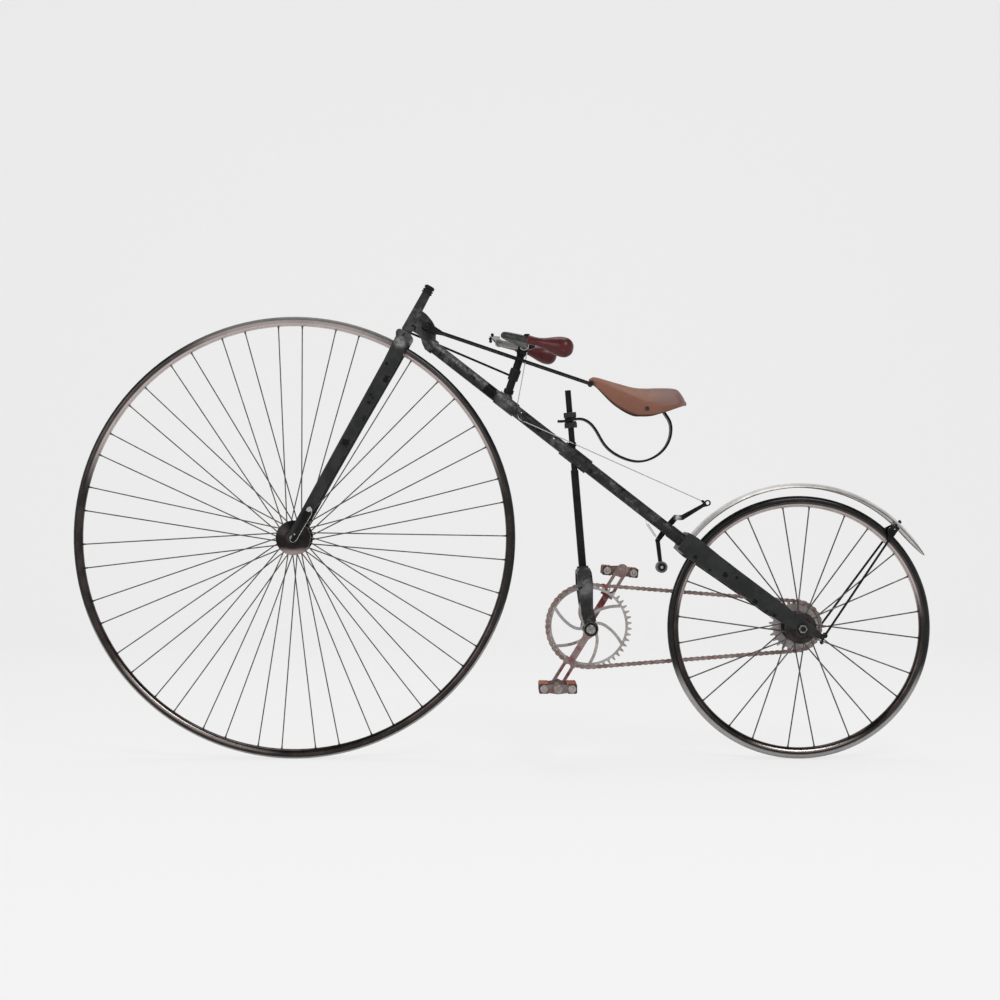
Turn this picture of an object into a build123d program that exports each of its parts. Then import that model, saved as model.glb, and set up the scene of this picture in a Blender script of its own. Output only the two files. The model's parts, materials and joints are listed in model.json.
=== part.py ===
"""A rear-driven penny farthing bicycle: a large steered front wheel, a small chain-driven rear wheel.

The bicycle faces -X, its left side is -Y and +Z is up. The origin is where the rider sits, on top of
the saddle. Every length is in millimetres. Points of the frame are given as (x, z) in the middle plane
of the bicycle, and y is the distance from that plane.
"""

import os
from math import asin, atan2, cos, degrees, pi, radians, sin

from build123d import *

# ---------------------------------------------------------------- driving dimensions

SADDLE_HEIGHT = 851.0  # top of the saddle above the ground
FRONT_WHEEL_RADIUS = 508.0  # a 40 inch wheel
REAR_WHEEL_RADIUS = 302.0  # a 24 inch wheel
FRONT_AXLE_X = -829.0
REAR_AXLE_X = 330.0
CRANK_AXLE_X = -151.0

HEAD_TILT = 28.4  # degrees from vertical, top to the rear; the axis runs through the front hub
POST_TILT = 18.5  # degrees from vertical of the handlebar post, top to the rear
SEAT_POST_TILT = -4.8  # degrees from vertical of the seat post, top to the front
BACKBONE_SLOPE = 37.9  # degrees below horizontal, towards the rear

CHAIN_PITCH = 13.4
CHAINWHEEL_TEETH = 45
SPROCKET_TEETH = 27
CHAIN_LINKS = 108
CHAIN_Y = 41.0
CRANK_LENGTH = 146.0
CRANK_ANGLE = 58.0  # degrees below horizontal of the left crank, which points to the front

FRONT_SPOKES = 23  # on each flange
REAR_SPOKES = 12  # on each flange

BACKBONE_RADIUS = 13.6
BACKBONE_WALL = 1.6
AXLE_RADIUS = 6.0
RUNNING_FIT = 0.1  # radial clearance of a bearing

# ---------------------------------------------------------------- places worked out from them

GROUND_Z = -SADDLE_HEIGHT
FRONT_AXLE = (FRONT_AXLE_X, GROUND_Z + FRONT_WHEEL_RADIUS)
REAR_AXLE = (REAR_AXLE_X, GROUND_Z + REAR_WHEEL_RADIUS)
CRANK_AXLE = (CRANK_AXLE_X, REAR_AXLE[1])


def along(start, tilt, distance, aside=0.0):
    """The (x, z) point at a distance up a line tilted from vertical, and aside to its rear."""
    tilt = radians(tilt)
    x = start[0] + distance * sin(tilt) + aside * cos(tilt)
    z = start[1] + distance * cos(tilt) - aside * sin(tilt)
    return (x, z)


def down_backbone(distance, above=0.0):
    """The (x, z) point at a distance down the backbone's axis, and above that axis."""
    slope = radians(BACKBONE_SLOPE)
    x = BACKBONE_START[0] + distance * cos(slope) + above * sin(slope)
    z = BACKBONE_START[1] - distance * sin(slope) + above * cos(slope)
    return (x, z)


BACKBONE_START = (-483.6, 75.2)
BACKBONE_FRONT = -43.0  # distances down the backbone from its start point
BACKBONE_END = 700.0
POST_FOOT = down_backbone(175.5)  # where the handlebar post's axis meets the backbone's
SEAT_POST_CROSSING = down_backbone(374.6)


# ---------------------------------------------------------------- shapes used again and again


def at(point, y=0.0):
    return Vector(point[0], y, point[1])


def rod(start, end, radius):
    """A round bar between two 3-D points."""
    span = Vector(*end) - Vector(*start)
    return Solid.make_cylinder(radius, span.length, Plane(origin=start, z_dir=span))


def cone(start, end, start_radius, end_radius):
    span = Vector(*end) - Vector(*start)
    return Solid.make_cone(start_radius, end_radius, span.length, Plane(origin=start, z_dir=span))


def cross_pin(point, y_from, y_to, radius):
    """A round bar across the bicycle."""
    return rod(at(point, y_from), at(point, y_to), radius)


def collar(tilt, foot, low, high, radius):
    """A round collar on a tilted post, from low to high above the post's foot."""
    return rod(at(along(foot, tilt, low)), at(along(foot, tilt, high)), radius)


def across(point, tilt, y=0.0):
    """A plane square to a tilted post at a point, with its x to the rear and its y to the right."""
    return Plane(origin=at(point, y), x_dir=at(along((0, 0), tilt, 0, 1)), z_dir=at(along((0, 0), tilt, 1)))


def plate(outline, y, thickness):
    """A flat plate standing lengthwise in the bicycle, with y in the middle of its thickness."""
    return extrude(Plane.XZ.offset(-y) * outline, thickness / 2, both=True)


def polygon(points):
    return make_face(Polyline(*points, close=True))


def hull_of(*circles):
    """The outline round circles given as (x, z, radius)."""
    edges = [Pos(x, z) * Circle(radius).edge() for x, z, radius in circles]
    return make_hull(edges)


def hexagon_nut(point, y, thickness, across_flats):
    outline = Pos(*point) * RegularPolygon(across_flats / 2, 6, major_radius=False)
    return plate(outline, y, thickness)


def round_bar(points, radii, radius):
    """A bar of round section bent along 3-D points."""
    path = FilletPolyline(*points, radius=radii)
    section = Plane(origin=path @ 0, z_dir=path % 0) * Circle(radius)
    return sweep(section, path=path)


def about_axle(section, axle):
    """Turns a section, drawn as (radius, y), round an axle."""
    turned = revolve(section, axis=Axis.Y)
    return Pos(axle[0], 0, axle[1]) * turned


# ---------------------------------------------------------------- wheels


def tyre(axle, wheel_radius, tyre_radius):
    centre = wheel_radius - tyre_radius
    return about_axle(Pos(centre, 0) * Circle(tyre_radius), axle)


def rim(axle, wheel_radius, tyre_radius, drop, outer, lip_radius):
    """A crescent rim, hollowed for the tyre on its outside."""
    centre = wheel_radius - tyre_radius
    seat = 0.05
    section = Pos(centre - drop, 0) * Circle(outer) - Pos(centre, 0) * Circle(tyre_radius + seat)
    beyond = Pos(lip_radius + 50, 0) * Rectangle(100, 100)
    return about_axle(section - beyond, axle)


def spokes(axle, count, rows, radius):
    """Straight spokes that leave their flange aslant and end at the rim's inner face.

    rows: one row per flange, as (side, y at flange, first angle, offset from the axle, inner, outer radius).
    """
    made = []
    for side, flange_y, first, offset, inner, outer in rows:
        for number in range(count):
            angle = first + 360 * number / count
            foot = chord_reach(inner, offset)
            tip = chord_reach(outer, offset)
            start = turned((foot, offset), angle)
            end = turned((tip, offset), angle)
            bar = rod(
                (axle[0] + start[0], side * flange_y, axle[1] + start[1]),
                (axle[0] + end[0], 0.0, axle[1] + end[1]),
                radius,
            )
            made.append(bar)
    return made


def chord_reach(radius, offset):
    """How far along a line, set off sideways from the axle, it meets a circle round the axle."""
    return (radius**2 - offset**2) ** 0.5


def turned(point, angle):
    angle = radians(angle)
    x = point[0] * cos(angle) - point[1] * sin(angle)
    z = point[0] * sin(angle) + point[1] * cos(angle)
    return (x, z)


def hub_section(steps):
    """A hub's half section from a table of (y, radius) corners, with its bore."""
    bore = AXLE_RADIUS + RUNNING_FIT
    corners = [(bore, steps[0][0])]
    corners += [(radius, y) for y, radius in steps]
    corners += [(bore, steps[-1][0])]
    return polygon(corners)


def toothed_ring(teeth, bore, first=0.0):
    """The outline of a chain wheel's toothed ring round the origin, with its first tooth at an angle."""
    pitch_radius = CHAIN_PITCH / (2 * sin(pi / teeth))
    root = pitch_radius - 4.6
    tip = pitch_radius + 4.6
    points = []
    for number in range(teeth):
        middle = first + 360 * number / teeth
        step = 360 / teeth
        for radius, aside in ((root, -0.30), (tip, -0.10), (tip, 0.10), (root, 0.30)):
            points.append(turned((radius, 0), middle + aside * step))
    return polygon(points) - Circle(bore)


# ---------------------------------------------------------------- chain


def chain_radii():
    return tuple(CHAIN_PITCH / (2 * sin(pi / teeth)) for teeth in (CHAINWHEEL_TEETH, SPROCKET_TEETH))


def chain_loop():
    """The chain's pitch line as stretches of (kind, length, start data)."""
    big, small = chain_radii()
    span = REAR_AXLE[0] - CRANK_AXLE[0]
    lean = asin((big - small) / span)
    straight = span * cos(lean)
    return [
        ("line", straight, 90 - degrees(lean)),
        ("rear", small * (pi - 2 * lean), 90 - degrees(lean)),
        ("line", straight, -90 + degrees(lean)),
        ("front", big * (pi + 2 * lean), -90 + degrees(lean)),
    ]


def chain_place(distance):
    """The (x, z, heading, run) of a point of the chain, where run is the distance to the nearest wheel."""
    big, small = chain_radii()
    for number, (kind, length, angle) in enumerate(chain_loop()):
        if distance <= length:
            break
        distance -= length
    if kind == "line":
        top = number == 0
        radius, axle = (big, CRANK_AXLE) if top else (small, REAR_AXLE)
        foot = turned((radius, 0), angle)
        heading = angle - 90
        ahead = turned((distance, 0), heading)
        x = axle[0] + foot[0] + ahead[0]
        z = axle[1] + foot[1] + ahead[1]
        return (x, z, heading, min(distance, length - distance))
    radius, axle = (small, REAR_AXLE) if kind == "rear" else (big, CRANK_AXLE)
    now = angle - degrees(distance / radius)
    spot = turned((radius, 0), now)
    return (axle[0] + spot[0], axle[1] + spot[1], now - 90, 0.0)


def link_outline(length, end_width, waist):
    """A link plate, waisted between its two ends, each end cut as half an octagon."""
    half = length / 2
    side = end_width / 2
    cut = side * 0.45
    return polygon(
        [
            (-half - side, -cut), (-half - cut, -side), (-half + cut, -side), (0, -waist / 2),
            (half - cut, -side), (half + cut, -side), (half + side, -cut),
            (half + side, cut), (half + cut, side), (half - cut, side), (0, waist / 2),
            (-half + cut, side), (-half - cut, side), (-half - side, cut),
        ]
    )


def chain():
    """The chain as one fixed loop: outer plates, inner plates and the rollers of the straight runs."""
    total = sum(length for _, length, _ in chain_loop())
    pitch = total / CHAIN_LINKS
    outer, inner, rollers = [], [], []
    plate_gap = 2.8  # from the middle of the chain to an inner plate
    plate_thickness = 1.3
    link_plate = plate(link_outline(pitch, 9.0, 6.4), 0, plate_thickness)
    for link in range(CHAIN_LINKS):
        first = chain_place(pitch * link)
        second = chain_place(pitch * ((link + 1) % CHAIN_LINKS))
        middle = ((first[0] + second[0]) / 2, (first[1] + second[1]) / 2)
        heading = degrees(atan2(second[1] - first[1], second[0] - first[0]))
        is_outer = link % 2 == 0
        away = plate_gap + plate_thickness / 2 + (plate_thickness + 0.1) * is_outer
        for side in (-1, 1):
            place = Pos(middle[0], CHAIN_Y + side * away, middle[1]) * Rot(0, -heading, 0)
            (outer if is_outer else inner).append(place * link_plate)
        if first[3] > 3.5 * pitch:
            spot = (first[0], first[1])
            rollers.append(cross_pin(spot, CHAIN_Y - plate_gap, CHAIN_Y + plate_gap, 3.6))
    return outer, inner, rollers


# ---------------------------------------------------------------- nodes

NODES = {}


def node(name, *shapes):
    solids = []
    for shape in shapes:
        solids += list(shape) if isinstance(shape, list) else [shape]
    solids = [solid for shape in solids for solid in shape.solids()]
    NODES[name] = Compound(children=solids) if len(solids) > 1 else solids[0]


# ---- head, neck and backbone (body: frame)

HEAD_LOW, HEAD_HIGH = 541.0, 638.0  # up the steering axis from the front hub
STEERER_RADIUS = 6.5

CORD_RADIUS = 1.1
CORD_START = (-294.7, -14.6, 81.8)  # just below the turns on the handlebar
CORD_INSIDE = (-319.5, -4.0, -54.0)  # its turn inside the backbone
CORD_OUTSIDE = (-312.0, -16.2, -71.8)  # its turn beside the backbone
CORD_END = (111.0, -5.0, -260.4)

backbone_outside = rod(at(down_backbone(BACKBONE_FRONT)), at(down_backbone(BACKBONE_END)), BACKBONE_RADIUS)
backbone_inside = rod(
    at(down_backbone(BACKBONE_FRONT + 4)),
    at(down_backbone(BACKBONE_END - 4)),
    BACKBONE_RADIUS - BACKBONE_WALL,
)
cord_holes = [rod(CORD_START, CORD_INSIDE, 2.6), rod(CORD_INSIDE, CORD_OUTSIDE, 3.4)]

POST_BORE = 5.3
SEAT_ROD_RADIUS = 6.9
SEAT_TUBE_RADIUS = 8.9
post_hole = collar(POST_TILT, POST_FOOT, -9.5, 60, POST_BORE)
seat_hole = collar(SEAT_POST_TILT, SEAT_POST_CROSSING, -40, 40, SEAT_ROD_RADIUS + 0.05)
node("backbone", backbone_outside - backbone_inside - post_hole - seat_hole - cord_holes)

steerer_hole = collar(HEAD_TILT, FRONT_AXLE, HEAD_LOW - 5, HEAD_HIGH + 5, STEERER_RADIUS + RUNNING_FIT)
head = cone(
    at(along(FRONT_AXLE, HEAD_TILT, HEAD_LOW)), at(along(FRONT_AXLE, HEAD_TILT, HEAD_HIGH)), 12.4, 10.2
)
neck_outline = polygon(
    [
        along(FRONT_AXLE, HEAD_TILT, 600), (-535.9, 177.8), (-526, 170.5), (-518.4, 162.2), (-511.5, 153.5),
        (-506.9, 144.9), (-505.1, 136.6), (-504, 124), (-504.4, 112), (-520, 86), (-531, 94), (-534.8, 101.7),
        (-538.9, 117.1), (-545.1, 124.2), (-555.7, 130.9), along(FRONT_AXLE, HEAD_TILT, 543),
    ]
)
neck_arm = plate(neck_outline, 0, 20)
NECK_BOLT = (-525.1, 140.8)
neck_eye = cross_pin(NECK_BOLT, -13, 13, 10)
neck_socket = rod(at(down_backbone(-47)), at(down_backbone(-29)), 16.4)
neck = head + neck_arm + neck_eye + neck_socket - steerer_hole - backbone_outside
neck -= cross_pin(NECK_BOLT, -30, 30, 4.0)
node("head_and_neck", neck)

lug_sleeve = rod(at(down_backbone(152)), at(down_backbone(207)), 16.0)
lug_boss = cone(at(along(POST_FOOT, POST_TILT, 8)), at(along(POST_FOOT, POST_TILT, 20.5)), 16.0, 10.5)
lug_sleeve -= rod(CORD_START, CORD_INSIDE, 3.2)
node("handlebar_lug", lug_sleeve + lug_boss - backbone_outside - post_hole)

seat_sleeve = rod(at(down_backbone(344)), at(down_backbone(418.5)), 17.0)
node("seat_lug", seat_sleeve - backbone_outside - seat_hole)

seat_rod = collar(SEAT_POST_TILT, SEAT_POST_CROSSING, -34, 151, SEAT_ROD_RADIUS)
seat_tube = collar(SEAT_POST_TILT, SEAT_POST_CROSSING, -262, -33, SEAT_TUBE_RADIUS)
node("seat_post", seat_rod + seat_tube)

# ---- bottom bracket fork (body: frame)

BRACKET_Y = 53.0
BRACKET_THICKNESS = 5.0
BRACKET_TOP = along(SEAT_POST_CROSSING, SEAT_POST_TILT, -258)
CRANK_AXLE_RADIUS = 7.0
bracket_side = polygon(
    [
        (-176, -412), (-152, -412), (-148.2, -421), (-145.4, -444), (-145.2, -500), (-138, -530), (-151, -549),
        (-165, -542), (-168.5, -528), (-173.4, -500), (-180.4, -451), (-181.4, -421),
    ]
)
bracket_side += Pos(*CRANK_AXLE) * Circle(18)
bracket_side -= Pos(*CRANK_AXLE) * Circle(CRANK_AXLE_RADIUS + RUNNING_FIT)
arch_place = Plane.YZ.offset(-260)
arch = arch_place * Pos(0, -512) * RectangleRounded(2 * BRACKET_Y + BRACKET_THICKNESS, 200, 20)
hollow = arch_place * Pos(0, -526) * RectangleRounded(2 * BRACKET_Y - BRACKET_THICKNESS, 200, 14)
bracket = plate(bracket_side, 0, 2 * BRACKET_Y + 20) & (extrude(arch, 200) - extrude(hollow, 200))
bracket_flange = collar(SEAT_POST_TILT, SEAT_POST_CROSSING, -259, -254.5, 13.2)
node("crank_bracket", bracket + bracket_flange - seat_tube)

# ---- rear fork (body: frame)

FORK_Y = 52.0
FORK_THICKNESS = 5.0
blade_outline = polygon(
    [
        (72, -330.5), (93, -342.5), (143, -383.5), (188, -418), (270, -479.5), (310, -511), (352, -540),
        (376, -562), (374, -574), (350, -566), (296, -543), (258, -519.5), (218, -490.5), (143, -438.5),
        (68, -387), (47, -367.5),
    ]
)
blade_outline += Pos(*REAR_AXLE) * Circle(16)
axle_hole = cross_pin(REAR_AXLE, -90, 90, AXLE_RADIUS)
for side, name in ((-1, "rear_fork_blade_left"), (1, "rear_fork_blade_right")):
    node(name, plate(blade_outline, side * FORK_Y, FORK_THICKNESS) - axle_hole)

crown_block = polygon([(72, -330.5), (47, -367.5), (63, -381), (88, -342)])
crown_ring = rod(at(down_backbone(683.5)), at(down_backbone(689)), 16.2)
crown_socket = rod(at(down_backbone(655)), at(down_backbone(686)), 15.0)
crown = plate(crown_block, 0, 2 * FORK_Y - FORK_THICKNESS) + crown_ring + crown_socket
node("rear_fork_crown", crown - backbone_outside)

node(
    "rear_axle",
    cross_pin(REAR_AXLE, -66, 66, AXLE_RADIUS)
    + [hexagon_nut(REAR_AXLE, side * (FORK_Y + 6.5), 8, 17.6) for side in (-1, 1)],
)

# ---- front fork (body: fork)

FRONT_FORK_Y = 44.0  # at the hub
CROWN_Y = 27.0
BLADE_THICKNESS = 8.0
CROWN_LOW = 516.0


def up_fork(distance, aside=0.0, y=0.0):
    return at(along(FRONT_AXLE, HEAD_TILT, distance, aside), y)


FORK_ROWS = (  # up the steering axis, y, width, aside of the axis
    (0, 44, 25, -0.5),
    (160, 40, 24, 1.1),
    (300, 36, 27.3, 2.9),
    (450, 29.6, 32.4, 5.3),
    (CROWN_LOW, CROWN_Y, 36, 4.6),
)


def fork_blade(side):
    """A flat blade lofted from the hub eye to the crown."""
    sections = []
    for distance, y, width, aside in FORK_ROWS:
        place = across(along(FRONT_AXLE, HEAD_TILT, distance, aside), HEAD_TILT, side * y)
        sections.append(place * RectangleRounded(width, BLADE_THICKNESS, 3.5))
    blade = loft(sections, ruled=True)
    eye = cross_pin(FRONT_AXLE, side * (FRONT_FORK_Y - 4), side * (FRONT_FORK_Y + 4), 14)
    return blade + eye


front_hole = cross_pin(FRONT_AXLE, -90, 90, AXLE_RADIUS)
node("front_fork_blade_left", fork_blade(-1) - front_hole)
node("front_fork_blade_right", fork_blade(1) - front_hole)

EYE_Y = 47.0  # of the steering rod
CROWN_CORNERS = (  # up the steering axis, aside of it, radius
    (518.7, -11.0, 2.5), (528.4, -9.3, 8.5), (526.8, 12.3, 10.2), (518.7, 20.1, 2.5),
)
crown_circles = [(*along(FRONT_AXLE, HEAD_TILT, up, aside), radius) for up, aside, radius in CROWN_CORNERS]
crown_outline = hull_of(*crown_circles)
front_crown = plate(crown_outline, 0, 2 * CROWN_Y + BLADE_THICKNESS)
arm_outline = Pos(0, EYE_Y - 10) * Rectangle(16, 26) + Pos(0, EYE_Y) * Circle(8)
arm = extrude(across(along(FRONT_AXLE, HEAD_TILT, 527), HEAD_TILT) * arm_outline, 6)
steerer = collar(HEAD_TILT, FRONT_AXLE, 530, 657, STEERER_RADIUS)
thrust_collar = collar(HEAD_TILT, FRONT_AXLE, 536, 540.9, 11.0)
eye_hole = rod(up_fork(515, 0, EYE_Y), up_fork(545, 0, EYE_Y), 3.4)
node("front_fork_crown", front_crown + arm + steerer + thrust_collar - eye_hole)
node(
    "head_nuts",
    rod(up_fork(638.1), up_fork(647), 11) - steerer,
    rod(up_fork(648), up_fork(657), 9.5) - steerer,
)
node("front_axle", cross_pin(FRONT_AXLE, -(FRONT_FORK_Y + 4), FRONT_FORK_Y + 4, AXLE_RADIUS))
straps = []
for side in (-1, 1):
    foot = along(FRONT_AXLE, HEAD_TILT, -6.5, 5.5)
    top = along(FRONT_AXLE, HEAD_TILT, 76, 0.8)
    straps.append(plate(hull_of((*foot, 6.3), (*top, 6.3)), side * (FRONT_FORK_Y + 6.3), 4.4))
node("fork_end_straps", straps)

# ---- wheels (bodies: front_wheel, rear_wheel)

FRONT_HUB_ROWS = (  # y, radius
    (-38, 18), (-31, 39.5), (-26, 39.5), (-24, 16), (24, 16), (26, 39.5), (31, 39.5), (38, 18),
)
REAR_HUB_ROWS = (  # y, radius
    (-34, 14), (-31, 36), (-26, 36), (-24, 15), (24, 15), (26, 36), (31, 36), (33, 22), (39.5, 22), (39.5, 14),
    (44, 14),
)
FRONT_TYRE_RADIUS = 9.5
REAR_TYRE_RADIUS = 10.0
front_rim = rim(FRONT_AXLE, FRONT_WHEEL_RADIUS, FRONT_TYRE_RADIUS, 1.0, 11.5, 500.0)
rear_rim = rim(REAR_AXLE, REAR_WHEEL_RADIUS, REAR_TYRE_RADIUS, 3.5, 12.5, 288.5)
node("front_hub", about_axle(hub_section(FRONT_HUB_ROWS), FRONT_AXLE))
node("front_rim", front_rim)
node("front_tyre", tyre(FRONT_AXLE, FRONT_WHEEL_RADIUS, FRONT_TYRE_RADIUS))
node(
    "front_spokes",
    spokes(
        FRONT_AXLE, FRONT_SPOKES,
        [(-1, 28.5, -1.0, 12.4, 40.1, 485.7), (1, 28.5, 11.1, -12.4, 40.1, 485.7)],
        1.4,
    ),
)
node("rear_hub", about_axle(hub_section(REAR_HUB_ROWS), REAR_AXLE))
node("rear_rim", rear_rim)
node("rear_tyre", tyre(REAR_AXLE, REAR_WHEEL_RADIUS, REAR_TYRE_RADIUS))
node(
    "rear_spokes",
    spokes(
        REAR_AXLE, REAR_SPOKES,
        [(-1, 28.5, -7.6, 12.0, 36.8, 275.7), (1, 28.5, 10.0, -12.0, 36.8, 275.7)],
        1.6,
    ),
)
sprocket = plate(toothed_ring(SPROCKET_TEETH, 14.0), CHAIN_Y, 3)
node("rear_sprocket", Pos(REAR_AXLE[0], 0, REAR_AXLE[1]) * sprocket)

# ---- crank set (body: crank_set)

CRANK_Y = 66.0
CRANK_THICKNESS = 9.0
ARM_RIM_ANGLE = 33.0  # of the first arm's end at the ring, above the +X direction
ARM_ROWS = (  # radius, angle on from the arm's end at the ring
    (15, 49), (34, 33), (50, 19), (68, 8), (87, -1),
)
arm_line = Spline(*[turned((radius, 0), ARM_RIM_ANGLE + angle) for radius, angle in ARM_ROWS])
wheel_arm = trace(arm_line, 7)
chainwheel = toothed_ring(CHAINWHEEL_TEETH, 86.0, 4.0) + Circle(17)
for number in range(6):
    chainwheel += Rot(0, 0, 60 * number) * wheel_arm
chainwheel -= Circle(7)
node("chainwheel", Pos(CRANK_AXLE[0], 0, CRANK_AXLE[1]) * plate(chainwheel, CHAIN_Y, 3))
node("crank_axle", cross_pin(CRANK_AXLE, -74, 74, CRANK_AXLE_RADIUS))

crank_outline = hull_of((0, 0, 16), (20, 0, 8)) + Pos(45, 0) * Rectangle(90, 15)
crank_outline += Pos(87, 0) * Rectangle(16, 30)
crank_outline += Pos(124, 0) * SlotOverall(84, 27)
crank_outline -= Pos(126, 0) * SlotOverall(66, 13)
crank_outline -= Circle(7)
for side, turn, name in ((-1, 180 + CRANK_ANGLE, "crank_left"), (1, CRANK_ANGLE, "crank_right")):
    placed = Rot(0, 0, turn) * crank_outline
    crank = plate(placed, side * CRANK_Y, CRANK_THICKNESS)
    node(name, Pos(CRANK_AXLE[0], 0, CRANK_AXLE[1]) * crank)

# ---- pedals (bodies: pedal_left, pedal_right; their pins belong to the crank set)

PEDAL_INNER, PEDAL_OUTER = 80.0, 172.0
PEDAL_PIN_RADIUS = 4.9
PEDAL_DIP = 5.5  # degrees the right pedal leans, front end up
BLOCK_REACH = 31.0
pedal_plate = hull_of((0, 0, 11.5), (BLOCK_REACH, 0, 7.5)) + hull_of((0, 0, 11.5), (-BLOCK_REACH, 0, 7.5))
pedal_plate -= Circle(PEDAL_PIN_RADIUS + RUNNING_FIT)
for side, turn, name in ((-1, 180 + CRANK_ANGLE, "left"), (1, CRANK_ANGLE, "right")):
    offset = turned((CRANK_LENGTH, 0), turn)
    centre = (CRANK_AXLE[0] + offset[0], CRANK_AXLE[1] + offset[1])
    node(
        "pedal_pin_" + name,
        cross_pin(centre, side * (CRANK_Y - 4.5), side * (PEDAL_OUTER + 5), PEDAL_PIN_RADIUS)
        + hexagon_nut(centre, side * (CRANK_Y + 7.5), 6, 17),
    )
    lean = Rot(0, 0, -PEDAL_DIP if side > 0 else 0)
    placed = Pos(*centre) * lean * pedal_plate
    barrel = cross_pin(centre, side * (PEDAL_INNER + 3), side * (PEDAL_OUTER - 3), 8)
    barrel -= cross_pin(centre, side * 70, side * 180, PEDAL_PIN_RADIUS + RUNNING_FIT)
    node(
        "pedal_frame_" + name,
        plate(placed, side * (PEDAL_INNER + 1.5), 3)
        + plate(placed, side * (PEDAL_OUTER - 1.5), 3)
        + barrel,
    )
    block = RectangleRounded(22, 21, 3)
    blocks = []
    for reach in (-BLOCK_REACH, BLOCK_REACH):
        outline = Pos(*centre) * lean * Pos(reach, 0) * block
        blocks.append(plate(outline, side * (PEDAL_INNER + PEDAL_OUTER) / 2, PEDAL_OUTER - PEDAL_INNER - 6))
    node("pedal_blocks_" + name, blocks)

# ---- chain (body: frame)

outer_plates, inner_plates, rollers = chain()
node("chain_outer_plates", outer_plates)
node("chain_inner_plates", inner_plates)
node("chain_rollers", rollers)

# ---- handlebar (body: handlebar)

POST_RADIUS = 9.0
BAR_RADIUS = 8.0
BAR_CENTRE = along(POST_FOOT, POST_TILT, 137)
POST_HEAD = along(POST_FOOT, POST_TILT, 121)
BAR_YAW, BAR_ROLL = 3.2, 2.5  # degrees; the bar sits a little crooked on its post
BAR_POINTS = {  # side: where the bar turns back and where its grip starts, from the bar's centre
    -1: (Vector(-63, -200, 17), Vector(-5, -216, 4)),
    1: (Vector(-52, 200, 17), Vector(-3, 208, 5.5)),
}
crooked = Pos(BAR_CENTRE[0], 0, BAR_CENTRE[1]) * Rot(BAR_ROLL, 0, BAR_YAW)

post = collar(POST_TILT, POST_FOOT, 21, 118, POST_RADIUS)
post += collar(POST_TILT, POST_FOOT, -9, 22, POST_BORE - RUNNING_FIT)
post += collar(POST_TILT, POST_FOOT, 22, 32, 11.5)
post_clamp = hull_of((*POST_HEAD, 11.5), (*BAR_CENTRE, 12.0)) + hull_of((*BAR_CENTRE, 11), (-284, 99.5, 8.5))
post_clamp = plate(post_clamp, 0, 18)


def up_post(distance, y=0.0):
    return at(along(POST_FOOT, POST_TILT, distance), y)


def bar_half(side):
    """Half of the bar, from the post, measured from the bar's centre."""
    bend, end = BAR_POINTS[side]
    return round_bar([Vector(0, 0, 0), Vector(0, side * 30, 0), bend, end], 22, BAR_RADIUS), end, end - bend


GRIP_ROWS = (  # distance along the grip, radius
    (0, 10.2), (6, 9.9), (18, 9.3), (32, 11.0), (48, 15.6), (64, 20.4), (78, 22.0), (89, 20.0), (97, 13.5),
)
GRIP_LENGTH = 100.5
grip_line = Spline([(radius, distance) for distance, radius in GRIP_ROWS] + [(0.0, GRIP_LENGTH)])
grip_outline = make_face(grip_line + Polyline((0, GRIP_LENGTH), (0, 0), (GRIP_ROWS[0][1], 0)))
grip = revolve(Plane.XZ * grip_outline, axis=Axis.Z)
bar_halves = []
for side, name in ((-1, "grip_left"), (1, "grip_right")):
    half, end, heading = bar_half(side)
    bar_halves.append(half)
    node(name, crooked * Plane(origin=end, z_dir=heading).location * grip)
bar = crooked * (bar_halves[0] + bar_halves[1])
node("handlebar_post", post + post_clamp - bar)
node("handlebar", bar)

ROD_UP = 65.5  # of the steering rod's rear eye, up the handlebar post
arm_place = across(along(POST_FOOT, POST_TILT, ROD_UP + 5), POST_TILT)
arm_outline = hull_of((0, 0, 12.5), (0, 14, 6)) + hull_of((0, 14, 6), (0, EYE_Y, 7))
arm_clamp = extrude(arm_place * arm_outline, 7) + collar(POST_TILT, POST_FOOT, 54, 81, 12)
arm_clamp -= collar(POST_TILT, POST_FOOT, 40, 100, POST_RADIUS)
node("steering_arm", arm_clamp - rod(up_post(50, EYE_Y), up_post(90, EYE_Y), 3.1))

# ---- steering rod (body: steering_rod)

rear_knuckle = rod(up_post(ROD_UP - 4, EYE_Y), up_post(ROD_UP + 4, EYE_Y), 7)
rear_pin = rod(up_post(ROD_UP, EYE_Y), up_post(ROD_UP + 16, EYE_Y), 3.0)
front_knuckle = rod(up_fork(539, 0, EYE_Y), up_fork(547, 0, EYE_Y), 7)
front_pin = rod(up_fork(520, 0, EYE_Y), up_fork(540, 0, EYE_Y), 2.5)
linkage = rod(up_post(ROD_UP, EYE_Y), up_fork(543, 0, EYE_Y), 2.6)
node("steering_rod", linkage + rear_knuckle + rear_pin + front_knuckle + front_pin)

# ---- saddle and what carries it (body: frame)

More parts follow.
